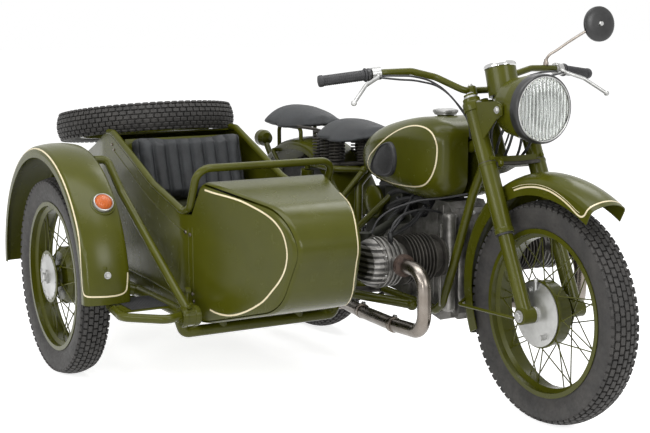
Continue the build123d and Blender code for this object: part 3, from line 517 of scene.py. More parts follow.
spareValues = {"place": (-270, -600, 815), "tilt": 9}
firstTyre = makeTread("treadMaster", tyreRubber)
for nodeName, body in (("front_tyre", "front_wheel"), ("rear_tyre", "rear_wheel"), ("sidecar_tyre", "sidecar_wheel")):
    low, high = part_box(nodeName)
    copy = placed(nodeName.replace("_tyre", "Tread"), firstTyre.data.copy())
    hand(turnedToAxle(copy, (low + high) / 2), body, "tyre_rubber", nodeName)
spareTilt = math.radians(spareValues["tilt"])
spareTurn = (Matrix.Translation(at(*spareValues["place"])) @ Matrix.Rotation(-spareTilt, 4, "Y")
             @ Matrix.Rotation(math.pi / 2, 4, "Y"))
firstTyre.name = "spareTread"
firstTyre.data.transform(spareTurn)
hand(firstTyre, "chassis", "tyre_rubber", "spare_tyre")
print("stage: tyres")


# soft goods
clothValues = {"frames": 20, "quality": 4, "stretch": 18, "squash": 18, "bend": 2.5}


def clothPad(piece, name, voxel, pressure, cap):
    # swell a plain pad under pressure, then hold back any point that went further than cap
    v = clothValues
    remesh = piece.modifiers.new("voxels", "REMESH")
    remesh.mode = "VOXEL"
    remesh.voxel_size = voxel
    remesh.use_smooth_shade = True
    solid = bakedMesh(piece, name + "Solid")
    before = [vertex.co.copy() for vertex in solid.data.vertices]
    cloth = solid.modifiers.new("cloth", "CLOTH")
    settings = cloth.settings
    settings.use_pressure, settings.uniform_pressure_force = True, pressure
    settings.effector_weights.gravity, settings.quality = 0, v["quality"]
    settings.tension_stiffness, settings.compression_stiffness = v["stretch"], v["squash"]
    settings.bending_stiffness = v["bend"]
    cloth.point_cache.frame_start = 1
    cloth.point_cache.frame_end = v["frames"]
    scene = bpy.context.scene
    for number in range(1, v["frames"] + 1):
        scene.frame_set(number)
    swollen = bakedMesh(solid, name)
    for vertex, start in zip(swollen.data.vertices, before):
        moved = vertex.co - start
        if moved.length > cap:
            vertex.co = start + moved * (cap / moved.length)
    scene.frame_set(1)
    return swollen


def smoothed(piece, factor, repeat):
    built = bmesh.new()
    built.from_mesh(piece.data)
    for _ in range(repeat):
        bmesh.ops.smooth_vert(built, verts=built.verts, factor=factor, use_axis_x=True, use_axis_y=True,
                              use_axis_z=True)
    built.to_mesh(piece.data)
    built.free()
    return piece


def subdivided(piece, name):
    finer = piece.modifiers.new("finer", "SUBSURF")
    finer.levels = finer.render_levels = 1
    whole = bakedMesh(piece, name)
    whole.data.shade_smooth()
    return whole


def upholstered(piece, body, replaced):
    # leather all over, attached to its body in place of the node it replaces
    dress(piece.data, leather)
    hand(piece, body, "black_leather", replaced)
    return piece


saddleValues = {"thick": 0.026, "droop": 0.064, "across": 27, "along": 40, "voxel": 0.0055, "pressure": 2.4,
                "cap": 0.007, "fill": 0.7}


def saddleHalfWidth(part, wide, nose):
    # part runs from 0 at the back to 1 at the nose's tip
    if part < 0.24:
        return wide * math.sqrt(max(0.0, 1 - ((0.24 - part) / 0.24) ** 2.2))
    if part < 0.46:
        return wide
    if part < 0.93:
        t = (part - 0.46) / 0.47
        return wide + (nose - wide) * (3 * t * t - 2 * t ** 3)
    return nose * math.sqrt(max(0.0, 1 - ((part - 0.93) / 0.07) ** 2))


def makeSaddle(name, rear, front, middleLine, wide, nose, replaced):
    # middleLine: height of the crown at even steps from the back to the nose
    v = saddleValues
    top, under = [], []
    for step in range(v["along"] + 1):
        part = step / v["along"]
        part = 0.5 - 0.5 * math.cos(math.pi * part)
        half = max(saddleHalfWidth(part, wide, nose), 2)
        spot = part * (len(middleLine) - 1)
        index = min(int(spot), len(middleLine) - 2)
        high = middleLine[index] + (middleLine[index + 1] - middleLine[index]) * (spot - index)
        for side in range(v["across"] + 1):
            t = -1 + 2 * side / v["across"]
            t = math.sin(t * math.pi / 2)
            drop = v["droop"] / mm * (abs(t) ** 2.3) * min(1, half / wide) ** 0.9
            x = rear + (front - rear) * part
            top.append(at(x, half * t, high - drop))
            squeeze = 1 - 0.75 * abs(t) ** 6
            depth = v["thick"] / mm * squeeze * (0.35 + 0.65 * min(1, half / wide))
            under.append(at(x, half * t * 0.97, high - drop - depth))
    columns = v["across"] + 1
    rows = v["along"] + 1
    verts = top + under
    faces = []
    for i in range(rows - 1):
        for j in range(columns - 1):
            a = i * columns + j
            faces.append((a, a + 1, a + columns + 1, a + columns))
            b = a + rows * columns
            faces.append((b, b + columns, b + columns + 1, b + 1))
    edge = list(range(columns)) + [i * columns + columns - 1 for i in range(1, rows)]
    edge += [(rows - 1) * columns + j for j in range(columns - 2, -1, -1)]
    edge += [i * columns for i in range(rows - 2, 0, -1)]
    for a, b in zip(edge, edge[1:] + edge[:1]):
        faces.append((a, a + rows * columns, b + rows * columns, b))
    pad = meshObject(name + "Plain", verts, faces, leather)
    pad = clothPad(pad, name + "Pad", v["voxel"], v["pressure"], v["cap"])
    upholstered(subdivided(smoothed(pad, 0.5, 4), name), "chassis", replaced)


saddlePlaces = [
    # name, rear, front, crown heights, half width, nose half width, replaced node
    ("driverSeat", 178, 578, (818, 838, 838, 830, 822, 824, 832), 140, 40, "driver_saddle"),
    ("passengerSeat", -250, 182, (842, 864, 864, 855, 843, 836, 832), 142, 40, "passenger_saddle"),
]
for place in saddlePlaces:
    makeSaddle(*place)
print("stage: saddles")


# backrest and cushion in the sidecar: a crowned pad with sewn channels
padValues = {"channels": 8, "margin": 0.015, "grooveDepth": 0.009, "grooveWidth": 0.007, "bulge": 0.004,
             "pressure": 4.0, "lean": 16.6, "hinge": (150, -600, 525), "corner": 20}
# each pad: size, voxel of its mesh, how far it may swell, fill, body, node it replaces
padRows = {"backrestPad": ((62, 416, 232), 0.005, 0.010, 0.75, "backrest", "sidecar_backrest"),
           "sidecarSeatPad": ((296, 414, 52), 0.006, 0.009, 0.7, "chassis", "sidecar_seat")}
leanAngle = math.radians(padValues["lean"])
hingePlace = at(*padValues["hinge"])


def leaned(x, y, z):
    # millimetres in the backrest's own lean, from its hinge
    return hingePlace + Vector((x * math.cos(leanAngle) - z * math.sin(leanAngle), y,
                                x * math.sin(leanAngle) + z * math.cos(leanAngle))) * mm


def roundedBlock(name, size, corner, place, material):
    # size and corner in millimetres; place turns local millimetres into the shared frame
    built = bmesh.new()
    bmesh.ops.create_cube(built, size=1)
    for vertex in built.verts:
        vertex.co = Vector((vertex.co.x * size[0], vertex.co.y * size[1], vertex.co.z * size[2]))
    bmesh.ops.bevel(built, geom=list(built.edges), offset=corner, segments=5, profile=0.6, affect="EDGES")
    verts = [place(*vertex.co) for vertex in built.verts]
    faces = [[vertex.index for vertex in face.verts] for face in built.faces]
    built.free()
    return meshObject(name, verts, faces, material)


def sewChannels(piece, facing):
    # grooves across the pad at even steps of y, on the side that faces the sitter
    v = padValues
    low = min(vertex.co.y for vertex in piece.data.vertices)
    high = max(vertex.co.y for vertex in piece.data.vertices)
    count = v["channels"]
    pitch = (high - low - 2 * v["margin"]) / count
    normals = [vertex.normal.copy() for vertex in piece.data.vertices]
    for vertex, normal in zip(piece.data.vertices, normals):
        front = max(0.0, min(1.0, normal.dot(facing) * 1.6))
        if front <= 0:
            continue
        spot = (vertex.co.y - low - v["margin"]) / pitch
        if spot < -0.02 or spot > count + 0.02:
            continue
        away = abs(spot - round(spot)) * pitch
        shadeBetween = math.exp(-(away / v["grooveWidth"]) ** 2) * v["grooveDepth"]
        swell = (1 - (1 - 2 * away / pitch) ** 2) * v["bulge"]
        vertex.co -= facing * front * (shadeBetween - swell)
    return piece


def makePad(name, place, facing):
    size, voxel, cap, fill, body, replaced = padRows[name]
    pad = roundedBlock(name + "Plain", size, padValues["corner"], place, leather)
    pad = clothPad(pad, name + "Solid", voxel, padValues["pressure"], cap)
    pad = subdivided(smoothed(pad, 0.5, 3), name)
    upholstered(sewChannels(pad, facing), body, replaced)


leanedForward = Vector((math.cos(leanAngle), 0, math.sin(leanAngle)))
makePad("backrestPad", lambda x, y, z: leaned(x + 38, y, z + 150), leanedForward)
makePad("sidecarSeatPad", lambda x, y, z: at(395 + x, -600 + y, 465 + z), Vector((0, 0, 1)))
print("stage: sidecar pads")


# lines that lie on a surface
reach = 0.25  # how far back from a point a ray to the surface starts


def smoothPath(points, step, closed=False):
    # evenly spaced points on a Catmull-Rom curve through the given ones
    count = len(points)
    pick = (lambda i: points[i % count]) if closed else (lambda i: points[max(0, min(count - 1, i))])
    dense = []
    for i in range(count if closed else count - 1):
        a, b, c, d = pick(i - 1), pick(i), pick(i + 1), pick(i + 2)
        for k in range(24):
            t = k / 24
            dense.append(0.5 * ((2 * b) + (c - a) * t + (2 * a - 5 * b + 4 * c - d) * t * t
                                + (3 * b - a - 3 * c + d) * t ** 3))
    dense.append(pick(0) if closed else points[-1])
    even = [dense[0]]
    for point in dense[1:]:
        if (point - even[-1]).length >= step:
            even.append(point)
    return even


def onSurface(points, surface, direction=None):
    # where a line along direction meets the surface, or the nearest place on it without one
    if direction is None:
        return [surface.find_nearest(point)[:2] for point in points]
    found = []
    heading = Vector(direction).normalized()
    for point in points:
        place, normal = surface.ray_cast(point - heading * reach, heading)[:2]
        if place is not None:
            if normal.dot(heading) > 0:
                normal = -normal
            found.append((place, normal))
    return found


# widths of the painted lines, the step along them and their height over the surface
lineValues = {"near": 5.5, "far": 4.5, "tank": 5, "fender": 5, "thin": 1.4, "carFender": 5, "step": 5, "lift": 0.5}


def lineOn(name, points, surface, width, body, closed=False):
    # a thin painted line on the surface, its points in millimetres
    path = smoothPath([at(*point) for point in points], lineValues["step"] * mm, closed)
    found = onSurface(path, surface)
    verts, faces = [], []
    count = len(found)
    for i, (place, normal) in enumerate(found):
        before = found[(i - 1) % count if closed else max(i - 1, 0)][0]
        after = found[(i + 1) % count if closed else min(i + 1, count - 1)][0]
        across = (after - before).normalized().cross(normal).normalized() * width * mm / 2
        up = normal * lineValues["lift"] * mm
        verts += [place - across - up * 0.6, place - across + up, place + across + up, place + across - up * 0.6]
    # nothing painted stands out past the solids' own box
    outermost = cadBox[0][1] - 0.02 * mm
    verts = [Vector((vert.x, max(vert.y, outermost), vert.z)) for vert in verts]
    for i in range(count if closed else count - 1):
        a, b = 4 * i, 4 * ((i + 1) % count)
        for k in range(4):
            m = (k + 1) % 4
            faces.append((a + k, a + m, b + m, b + k))
    if not closed and count > 1:
        faces += [(3, 2, 1, 0), tuple(4 * (count - 1) + k for k in range(4))]
    hand(meshObject(name, verts, faces, cream, smooth=False), body, "green_paint")


carSurface = surfaceOf("sidecar_body")
tankSurface = surfaceOf("fuel_tank")
frontFenderSurface = surfaceOf("front_fender")
carFenderSurface = surfaceOf("sidecar_fender")


# open line round the tapered side of the sidecar: x, y, z
sideLine = [(762, -823, 686), (809, -810, 680), (864, -793, 675), (919, -777, 668), (974, -763, 656),
            (1023, -750, 642), (1060, -740, 626), (1090, -731, 603), (1108, -726, 577), (1118, -723, 543),
            (1118, -723, 513), (1108, -726, 478), (1087, -732, 444), (1058, -740, 412), (1021, -751, 375),
            (982, -761, 349), (938, -774, 326), (892, -785, 309), (854, -797, 301), (809, -810, 301),
            (777, -819, 307)]
lineOn("sidecarLineNear", sideLine, carSurface, lineValues["near"], "chassis")

# the far line lies on the rounded front, a little inside its left edge: x and z
noseProfile = [(960, 677), (1010, 669), (1050, 656), (1084, 637), (1108, 622), (1128, 604), (1147, 580), (1157, 552),
               (1157, 520), (1150, 490), (1134, 455), (1114, 415), (1090, 380), (1060, 348), (1020, 322), (980, 304)]
bodyMiddle, bodyHalf, noseInset, taperX, taperSlope = -600, 255, 15, 650, 148 / 525
# each point starts a little outside, so that it is seated on the outer face
farLine = [(x + 6 * (x - 900) / 260, bodyMiddle + bodyHalf - (x - taperX) * taperSlope - noseInset,
            z + 6 * (z - 480) / 190) for x, z in noseProfile]
lineOn("sidecarLineFar", farLine, carSurface, lineValues["far"], "chassis")

tankOutline = [(618, -134, 737), (672, -142, 772), (727, -147, 803), (780, -146, 831), (838, -139, 855),
               (898, -134, 868), (959, -132, 866), (1000, -130, 849), (1020, -128, 819), (1022, -127, 783),
               (1016, -130, 742), (999, -137, 704), (970, -141, 681), (921, -143, 670), (825, -139, 665),
               (740, -130, 665), (672, -124, 670), (628, -122, 682), (606, -126, 706)]
for side, label in ((1, "Right"), (-1, "Left")):
    points = [(x, side * y, z) for x, y, z in tankOutline]
    lineOn("tankLine" + label, points, tankSurface, lineValues["tank"], "chassis", closed=True)

# along both skirts of the front mudguard and across its tip: degrees, radius from its own centre, y
fenderLine = [(103.5, 468, -64), (98, 473, -64), (91, 476.5, -64), (84, 476, -64), (78, 471, -64), (72, 464, -64),
              (67.5, 458, -64), (64.8, 459, -64), (63.4, 470, -64), (63.0, 488, -63), (62.9, 505, -54),
              (62.9, 514, -36), (62.9, 517, 0)]
fenderLine += [(angle, radius, -y) for angle, radius, y in reversed(fenderLine[:-1])]


def roundArc(rows, centreX, centreZ):
    return [(centreX + radius * math.cos(math.radians(angle)), y, centreZ + radius * math.sin(math.radians(angle)))
            for angle, radius, y in rows]


frontArc, carArc = (1450, 247), (175, 340)  # middles of the two mudguards' arcs, x and z
lineOn("frontFenderLine", roundArc(fenderLine, *frontArc), frontFenderSurface, lineValues["fender"], "steering")
thinLine = [(angle + 1.0 * (radius > 480) + 0.6, radius + 8 * (radius < 480), y) for angle, radius, y in fenderLine[:8]]
lineOn("frontFenderThinLine", roundArc(thinLine, *frontArc), frontFenderSurface, lineValues["thin"], "steering")
# round the shoulder of the sidecar's mudguard, then across above its lower end
shoulder = [(174 - 6 * step, 441, -1170) for step in range(25)]
shoulder += [(24, 438, -1171), (18, 432, -1172), (12, 426, -1173), (6, 424, -1174)]
acrossEnd = [(601, -1174, 370), (609, -1171, 360), (620, -1162, 355), (630, -1138, 353), (633, -1099, 351),
             (632, -1062, 352), (628, -1040, 359), (624, -1032, 376), (614, -1026, 420)]
lineOn("sidecarFenderLine", roundArc(shoulder, *carArc) + acrossEnd, carFenderSurface, lineValues["carFender"],
       "chassis")
print("stage: lines")


# small hardware
def boltHead(centre, direction, radius, height, material, washer=True):
    flats = [(radius, 0), (radius, height * 0.8), (radius * 0.86, height), (0.01, height)]
    parts = [lathe("head", flats, centre, direction, material, 6)]
    if washer:
        ring = [(radius * 1.35, 0), (radius * 1.35, height * 0.22), (radius * 0.7, height * 0.24)]
        parts.append(lathe("washer", ring, centre, direction, material, 20))
    return parts


ahead, left, right, upward = (1, 0, 0), (0, 1, 0), (0, -1, 0), (0, 0, 1)


# sidecar body trim
bodySide = -900  # a little outside the near wall
# beads pressed into the near side: x and z of their points, and radius
bodyBeads = [
    ("sidecarBead", [(70, 742), (215, 684), (380, 618), (560, 566), (668, 545)], 3.2),
    ("sidecarSeam", [(700, 560), (702, 520), (702, 420), (702, 330), (690, 300), (650, 290)], 2.6),
    ("sidecarSeamInner", [(682, 556), (682, 440), (682, 330)], 2.0),
    ("sidecarLowBead", [(-420, 352), (-100, 340), (200, 338), (470, 330), (600, 322)], 3.0),
]
beadValues = {"step": 9, "sunk": 0.4}
for label, points, radius in bodyBeads:
    path = smoothPath([at(x, bodySide, z) for x, z in points], beadValues["step"] * mm)
    line = [place - normal * radius * mm * beadValues["sunk"] for place, normal in onSurface(path, carSurface, left)]
    hand(tube(label, line, radius, green, False), "chassis", "green_paint")
bodyBolts = []
for x, z in ((40, 768), (58, 750), (668, 542), (690, 536), (700, 345), (704, 322), (676, 330)):
    place, normal = onSurface([at(x, bodySide, z)], carSurface, left)[0]
    bodyBolts += boltHead(place - normal * 0.5 * mm, normal, 5, 4.5, steel)
handJoined("sidecarBolts", bodyBolts, "chassis", "steel")

# clamp joint at the front of the outer rail
railEnd = at(801, -900, 300)
clampBand = [(30.6, -7), (33, -5), (33, 5), (30.6, 7)]
clampParts = [lathe("clampBand", clampBand, railEnd + Vector((0, side * 19 * mm, 0)), left, green) for side in (-1, 1)]
for place, direction, radius, height in (((801, -930, 300), right, 17, 13), ((812, -905, 329), upward, 8, 9),
                                         ((790, -888, 329), upward, 8, 9)):
    clampParts += boltHead(at(*place), direction, radius, height, green)
clampParts.append(tube("clampEar", [at(742, -880, 306), at(724, -874, 334), at(716, -868, 358)], 9, green, False))
clampParts.append(lathe("clampEye", [(0.01, -9), (11, -9), (11, 9), (0.01, 9)], at(716, -868, 362), left, green, 24))
handJoined("sidecarClamp", clampParts, "chassis", "green_paint")

# step mat
matValues = {"low": (552, -1056, 319.2), "high": (716, -932, 322.2), "corner": 1.2, "edge": 0.006,
             "studs": 19, "rows": 15, "stud": (0.005, 0.005, 0.0022), "turn": 45, "lift": 0.0007}


def makeStepMat():
    v = matValues
    low, high = at(*v["low"]), at(*v["high"])
    middle, size = (low + high) / 2, high - low
    base = roundedBlock("matBase", size / mm, v["corner"], lambda x, y, z: middle + Vector((x, y, z)) * mm, rubber)
    tree, given, add = newTree("matStuds", Width="Float", Depth="Float", Across="Int", Along="Int", Stud="Vector")
    grid = add("GeometryNodeMeshGrid", {"Size X": given["Width"], "Size Y": given["Depth"],
                                        "Vertices X": given["Across"], "Vertices Y": given["Along"]})
    stud = add("GeometryNodeMeshCube", {"Size": given["Stud"]})
    turn = (0, 0, math.radians(v["turn"]))
    endTree(tree, given, add, add("GeometryNodeInstanceOnPoints", {"Points": grid, "Instance": stud, "Rotation": turn}))
    studs = runTree(tree, "studs", 0.0006, Width=size.x - 2 * v["edge"], Depth=size.y - 2 * v["edge"],
                    Across=v["studs"], Along=v["rows"], Stud=v["stud"], Material=rubber)
    studs.data.transform(Matrix.Translation((middle.x, middle.y, high.z + v["lift"])))
    return joined("stepMat", [base, studs])


hand(makeStepMat(), "chassis", "black_rubber")


# sidecar wheel hub
hubValues = {"axle": (175, -1094, 340), "nutOut": 62.4, "studOut": 52.5, "studs": 12, "studRadius": 0.076}
axleX, axleY, axleZ = hubValues["axle"]
axleEnd = at(axleX, axleY - hubValues["nutOut"], axleZ)
hubParts = boltHead(axleEnd, right, 15, 12, plainAlloy)
hubParts.append(lathe("hubStub", [(9.6, 10), (9.6, 12.4), (7, 13.4), (0.01, 13.4)], axleEnd, right, plainAlloy, 24))
handJoined("sidecarAxleNut", hubParts, "chassis", "steel")
studs = runTree(blockRing, "hubStuds", 0.001, Count=hubValues["studs"], Radius=hubValues["studRadius"],
                Size=(0.006, 0.0085, 0.0085), Tilt=0.0, Phase=0.13, Along=0.0, Material=plainAlloy)
hand(turnedToAxle(studs, at(axleX, axleY - hubValues["studOut"], axleZ)), "sidecar_wheel", "cast_alloy")
print("stage: sidecar trim")


# headlamp and instruments
headlampValues = {"centre": (1385, 0, 948), "earBoss": (1310, 106.8, 944), "podTop": (1175, 0, 1068), "podLean": -17}
lampCentre = at(*headlampValues["centre"])
# name, outline, finish, segments, slot and the node each stands for
headlampRows = [
    ("headlampBezel", [(101.3, -24), (104.5, -21), (105.5, -4), (104.6, 8), (102, 12), (99.8, 13), (98.4, 11),
                       (98.4, 5)], plastic, 72, "black_plastic"),
    ("headlampRing", [(98.5, 6), (98.4, 13), (96.6, 14.6), (94.6, 13.6), (94.6, 8)], plainAlloy, 72, "steel"),
    ("headlampReflector", [(95.5, 6.6), (92, 8.3), (86.5, 8.4), (82, 2), (76, -8), (62, -22), (44, -36), (26, -46),
                           (12, -50), (11, -30), (9, -26), (0.01, -24)], finish["reflector"], 64, "steel"),
    ("headlampGlass", [(95.5, 9.6), (89, 12), (76, 15.5), (54, 20), (28, 22.5), (0.01, 23.5), (0.01, 20.5), (28, 19.5),
                       (54, 17), (76, 12.5), (89, 9.4), (95.5, 8.6)], lampGlass, 72, "lamp_glass", "headlamp_lens"),
]
for name, outline, material, segments, *handing in headlampRows:
    hand(lathe(name, outline, lampCentre, ahead, material, segments), "steering", *handing)

podTop = at(*headlampValues["podTop"])
podAngle = math.radians(headlampValues["podLean"])
podLean = Vector((math.sin(podAngle), 0, math.cos(podAngle)))
dialMaterial, dialTree, dialShader = newMaterial("dialFace")
dialShader.inputs["Roughness"].default_value = 0.5
dialMottle = ramp(dialTree, noise(dialTree, coords(dialTree), 40), [(0.3, grey(0.015)), (0.7, grey(0.03))])
dialTree.links.new(dialMottle, dialShader.inputs["Base Color"])
pod = [lathe("podBezel", [(49.2, -8), (51, -6), (51.5, 2), (49, 6), (44, 7.5), (41.5, 5), (41.5, -1)], podTop, podLean,
             chrome, 56),
       lathe("podDial", [(42, 1.2), (0.01, 1.6)], podTop, podLean, dialMaterial, 48)]
handJoined("speedometer", pod, "steering", "steel")
hand(lathe("speedometerGlass", [(42.4, 3.2), (34, 5.4), (18, 6.8), (0.01, 7.2), (0.01, 5.7), (18, 5.3), (34, 4),
                                (42.4, 1.8)], podTop, podLean, lampGlass, 48), "steering", "lamp_glass")
lampBolts = []
bossX, bossY, bossZ = headlampValues["earBoss"]
for side in (-1, 1):
    boss = at(bossX, side * bossY, bossZ)
    lampBolts.append(lathe("earBoss", [(19, 0), (18, 3.5), (0.01, 4)], boss, (0, side, 0), green, 32))
    lampBolts += boltHead(boss + Vector((0, side * 3.7 * mm, 0)), (0, side, 0), 8.5, 7, plainAlloy)
handJoined("headlampBolts", lampBolts, "steering", "green_paint")
print("stage: headlamp")


# handlebar fittings
cableRadius = 3.2
throttleCable = [(1030, 348, 1040), (1052, 300, 1040), (1060, 240, 1036), (1064, 160, 1010), (1090, 110, 960),
                 (1120, 80, 900), (1110, 60, 840)]
clutchCable = [(1046, 362, 1036), (1066, 310, 1030), (1074, 230, 1022), (1080, 150, 996), (1110, 96, 930),
               (1140, 70, 860), (1130, 55, 800)]
cables = [tube("cable", [at(x, side * y, z) for x, y, z in points], cableRadius, rubber)
          for side in (1, -1) for points in (throttleCable, clutchCable)]
handJoined("barCables", cables, "steering", "black_rubber")
gripValues = {"end": (975, 527, 1026), "inner": (1028, 330, 1050), "length": 0.146, "rings": 20, "firstRing": 0.012,
              "ringPitch": 0.0064}
barEnd, barInner = at(*gripValues["end"]), at(*gripValues["inner"])
barRun = (barEnd - barInner).normalized()


def flipped(piece):
    # the same piece on the other side of the middle plane
    middle = shift.y
    piece.data.transform(Matrix.Translation((0, middle, 0)) @ Matrix.Diagonal((1, -1, 1, 1))
                         @ Matrix.Translation((0, -middle, 0)))
    piece.data.flip_normals()
    return piece


def gripPieces():
    v = gripValues
    parts = [lathe("gripFlange", [(16.2, 0), (21, 1), (22, 4), (21, 7), (16.2, 9)], barEnd - barRun * v["length"],
                   barRun, rubber, 32),
             lathe("gripEnd", [(16.1, -8), (18, -6), (18.6, 2), (17, 7), (12, 8.5), (0.01, 8.8)], barEnd, barRun,
                   rubber, 32)]
    for ring in range(v["rings"]):
        parts.append(lathe("gripRing", [(15.9, -1.4), (16.9, -0.9), (16.9, 0.9), (15.9, 1.4)],
                           barEnd - barRun * (v["firstRing"] + v["ringPitch"] * ring), barRun, rubber, 28))
    parts.append(lathe("switchDrum", [(11.5, 0), (19, 1), (20, 3), (20, 10), (18.5, 12.5), (11.5, 13)],
                       barEnd - barRun * (v["length"] + 0.014), barRun, plastic, 32))
    return parts


rightGrip = [flipped(piece) for piece in gripPieces()]
handJoined("gripTrim", gripPieces() + rightGrip, "steering", "black_rubber")
print("stage: handlebar")


# mirror
mirrorValues = {"place": (1074, 490, 1196), "facing": (-1, 0.12, -0.1), "foot": (1031, 300, 1061), "stemRadius": 4.5}
mirrorPlace = at(*mirrorValues["place"])
mirrorFacing = Vector(mirrorValues["facing"]).normalized()
mirrorBack = lathe("mirrorShell", [(0.01, -9), (34, -8), (52, -5), (58.8, 0), (59.2, 8), (58, 9.6), (56.4, 8.6),
                                   (56.4, 7), (0.01, 7)], mirrorPlace, mirrorFacing, plastic, 56)
mirrorFace = lathe("mirrorFace", [(56.2, 7.2), (56.0, 8.2), (0.01, 8.4)], mirrorPlace, mirrorFacing, chrome, 56)
stem = tube("mirrorStem", [at(1031, 300, 1062), at(1033, 303, 1085), at(1042, 340, 1112), at(1060, 430, 1166),
                           at(1074, 484, 1196)], mirrorValues["stemRadius"], steel)
stemFoot = lathe("mirrorFoot", [(9, 0), (9, 8), (6.5, 14), (6.5, 20), (0.01, 21)], at(*mirrorValues["foot"]), upward,
                 steel, 24)
ball = lathe("mirrorBall", [(0.01, -14), (7, -13), (9.5, -9), (9.5, -7)], mirrorPlace, mirrorFacing, chrome, 24)
handJoined("mirrorHead", [mirrorBack, mirrorFace, ball, stem, stemFoot], "steering", "black_plastic", "mirror")
print("stage: mirror")


# saddle springs
# x, y, lower and upper end, coil radius, wire radius, turns
springRows = [(290, 70, 684, 779, 25, 4.2, 8), (232, 78, 684, 782, 23, 4.2, 8), (178, 84, 690, 792, 20, 3.8, 9),
              (416, 34, 696, 776, 17, 3.4, 8), (456, 27, 700, 782, 15, 3.2, 8)]
springValues = {"stepsPerTurn": 14, "barrel": 0.10}


def helix(name, x, y, low, high, radius, wire, turns, material):
    points = []
    steps = turns * springValues["stepsPerTurn"]
    for step in range(steps + 1):
        angle = 2 * math.pi * turns * step / steps
        barrel = radius * (1 + springValues["barrel"] * math.sin(math.pi * step / steps))
        points.append(at(x + barrel * math.cos(angle), y + barrel * math.sin(angle), low + (high - low) * step / steps))
    return tube(name, points, wire, material, False, 8)


springParts = []
for x, y, low, high, radius, wire, turns in springRows:
    for side in (-1, 1):
        springParts.append(helix("coil", x, side * y, low, high, radius, wire, turns, iron))
        for label, outline, z, segments in (
                ("coilCore", [(radius * 0.42, 0), (radius * 0.42, high - low), (0.01, high - low)], low, 14),
                ("coilSeat", [(radius + 5, -4), (radius + 5, 1), (radius * 0.5, 3)], low, 24),
                ("coilCup", [(radius * 0.5, -2), (radius + 4, 0), (radius + 4, 4)], high - 2, 24)):
            springParts.append(lathe(label, outline, at(x, side * y, z), upward, iron, segments))
springParts.append(roundedBlock("springShelf", (60, 198, 8), 1.5, lambda x, y, z: at(290 + x, y, 676 + z), iron))
springParts.append(lathe("nosePost", [(9, 0), (9, 76), (0.01, 76)], at(430, 0, 702), upward, iron, 20))
for side in (-1, 1):
    springParts.append(tube("springArm", [at(150, side * 84, 684), at(232, side * 80, 678), at(300, side * 72, 679),
                                          at(380, side * 40, 688), at(455, side * 27, 694)], 8, iron))
    springParts.append(tube("saddleRail", [at(-150, side * 92, 806), at(40, side * 96, 800), at(172, side * 84, 796),
                                           at(240, side * 80, 786)], 6, iron))
handJoined("saddleSpringCoils", springParts, "chassis", "steel", "saddle_springs")
print("stage: saddle springs")


# sidecar lamp and mudguard fittings
amberValues = {"angle": 39.6, "arc": (175, -1072, 340), "radius": 0.4545}
lampAngle = math.radians(amberValues["angle"])
lampOut = Vector((math.cos(lampAngle), 0, math.sin(lampAngle)))
lampSeat = at(*amberValues["arc"]) + lampOut * amberValues["radius"]
amberParts = [lathe("amberDome", [(28, 6), (28, 12), (25, 18), (17, 22.5), (8, 24), (0.01, 24.4)], lampSeat, lampOut,
                    amberGlass, 40)]
lampRing = lathe("lampRing", [(30, -8), (33.5, -6), (33.5, 10), (32, 13.5), (29.5, 14.5), (28, 13), (28, 4)], lampSeat,
                 lampOut, plainAlloy, 48)
lampBase = lathe("lampBase", [(41, -9), (41.5, -2), (40, 1.5), (34, 2.5), (33, 1)], lampSeat, lampOut, green, 48)
handJoined("amberLamp", amberParts + [lampRing, lampBase], "chassis", "amber_plastic", "sidecar_lamp")
mudguardBolt = onSurface([at(623, -1097, 417)], carFenderSurface)[0]
tab = onSurface([at(619, -1104, 439)], carFenderSurface)[0]
guardParts = boltHead(mudguardBolt[0] - mudguardBolt[1] * 0.5 * mm, mudguardBolt[1], 8.5, 7, plainAlloy)
guardParts.append(lathe("tab", [(7, -1), (7, 1.5), (4, 3), (0.01, 3.2)], *tab, green, 16))
handJoined("mudguardBolt", guardParts, "chassis", "steel")


# knee pads
# outline x and z round the pad, its rim stands proud of the tank
kneeOutline = [(806, 704), (822, 745), (815, 783), (792, 805), (758, 802), (722, 786), (690, 760), (662, 726),
              (652, 706), (662, 690), (700, 684), (760, 687)]
kneeMiddle = (742, 742)
# share of the way out from the middle, height over the tank
kneeRings = [(1.0, -2), (1.0, 7), (0.975, 11), (0.93, 12.5), (0.88, 11), (0.84, 9.5), (0.6, 12), (0.3, 13.5)]


def makeKneePad(side):
    middle = Vector((kneeMiddle[0], 0, kneeMiddle[1]))
    ring = smoothPath([Vector((x, 0, z)) for x, z in kneeOutline], 6, closed=True)
    count, last = len(ring), len(kneeRings) - 1
    verts, faces = [], []
    for share, high in kneeRings:
        for point in ring:
            flat = middle + (point - middle) * share
            place = onSurface([at(flat.x, side * 200, flat.z)], tankSurface, (0, -side, 0))[0][0]
            verts.append(place + Vector((0, side * high * mm, 0)))
    for row in range(last):
        for k in range(count):
            following = (k + 1) % count
            faces.append((row * count + k, row * count + following, (row + 1) * count + following,
                          (row + 1) * count + k))
    faces.append(tuple(last * count + k for k in range(count)))
    faces.append(tuple(reversed(range(count))))
    return meshObject("kneePad", verts, faces, rubber)


handJoined("kneePads", [makeKneePad(-1), makeKneePad(1)], "chassis", "black_rubber", "knee_pads")


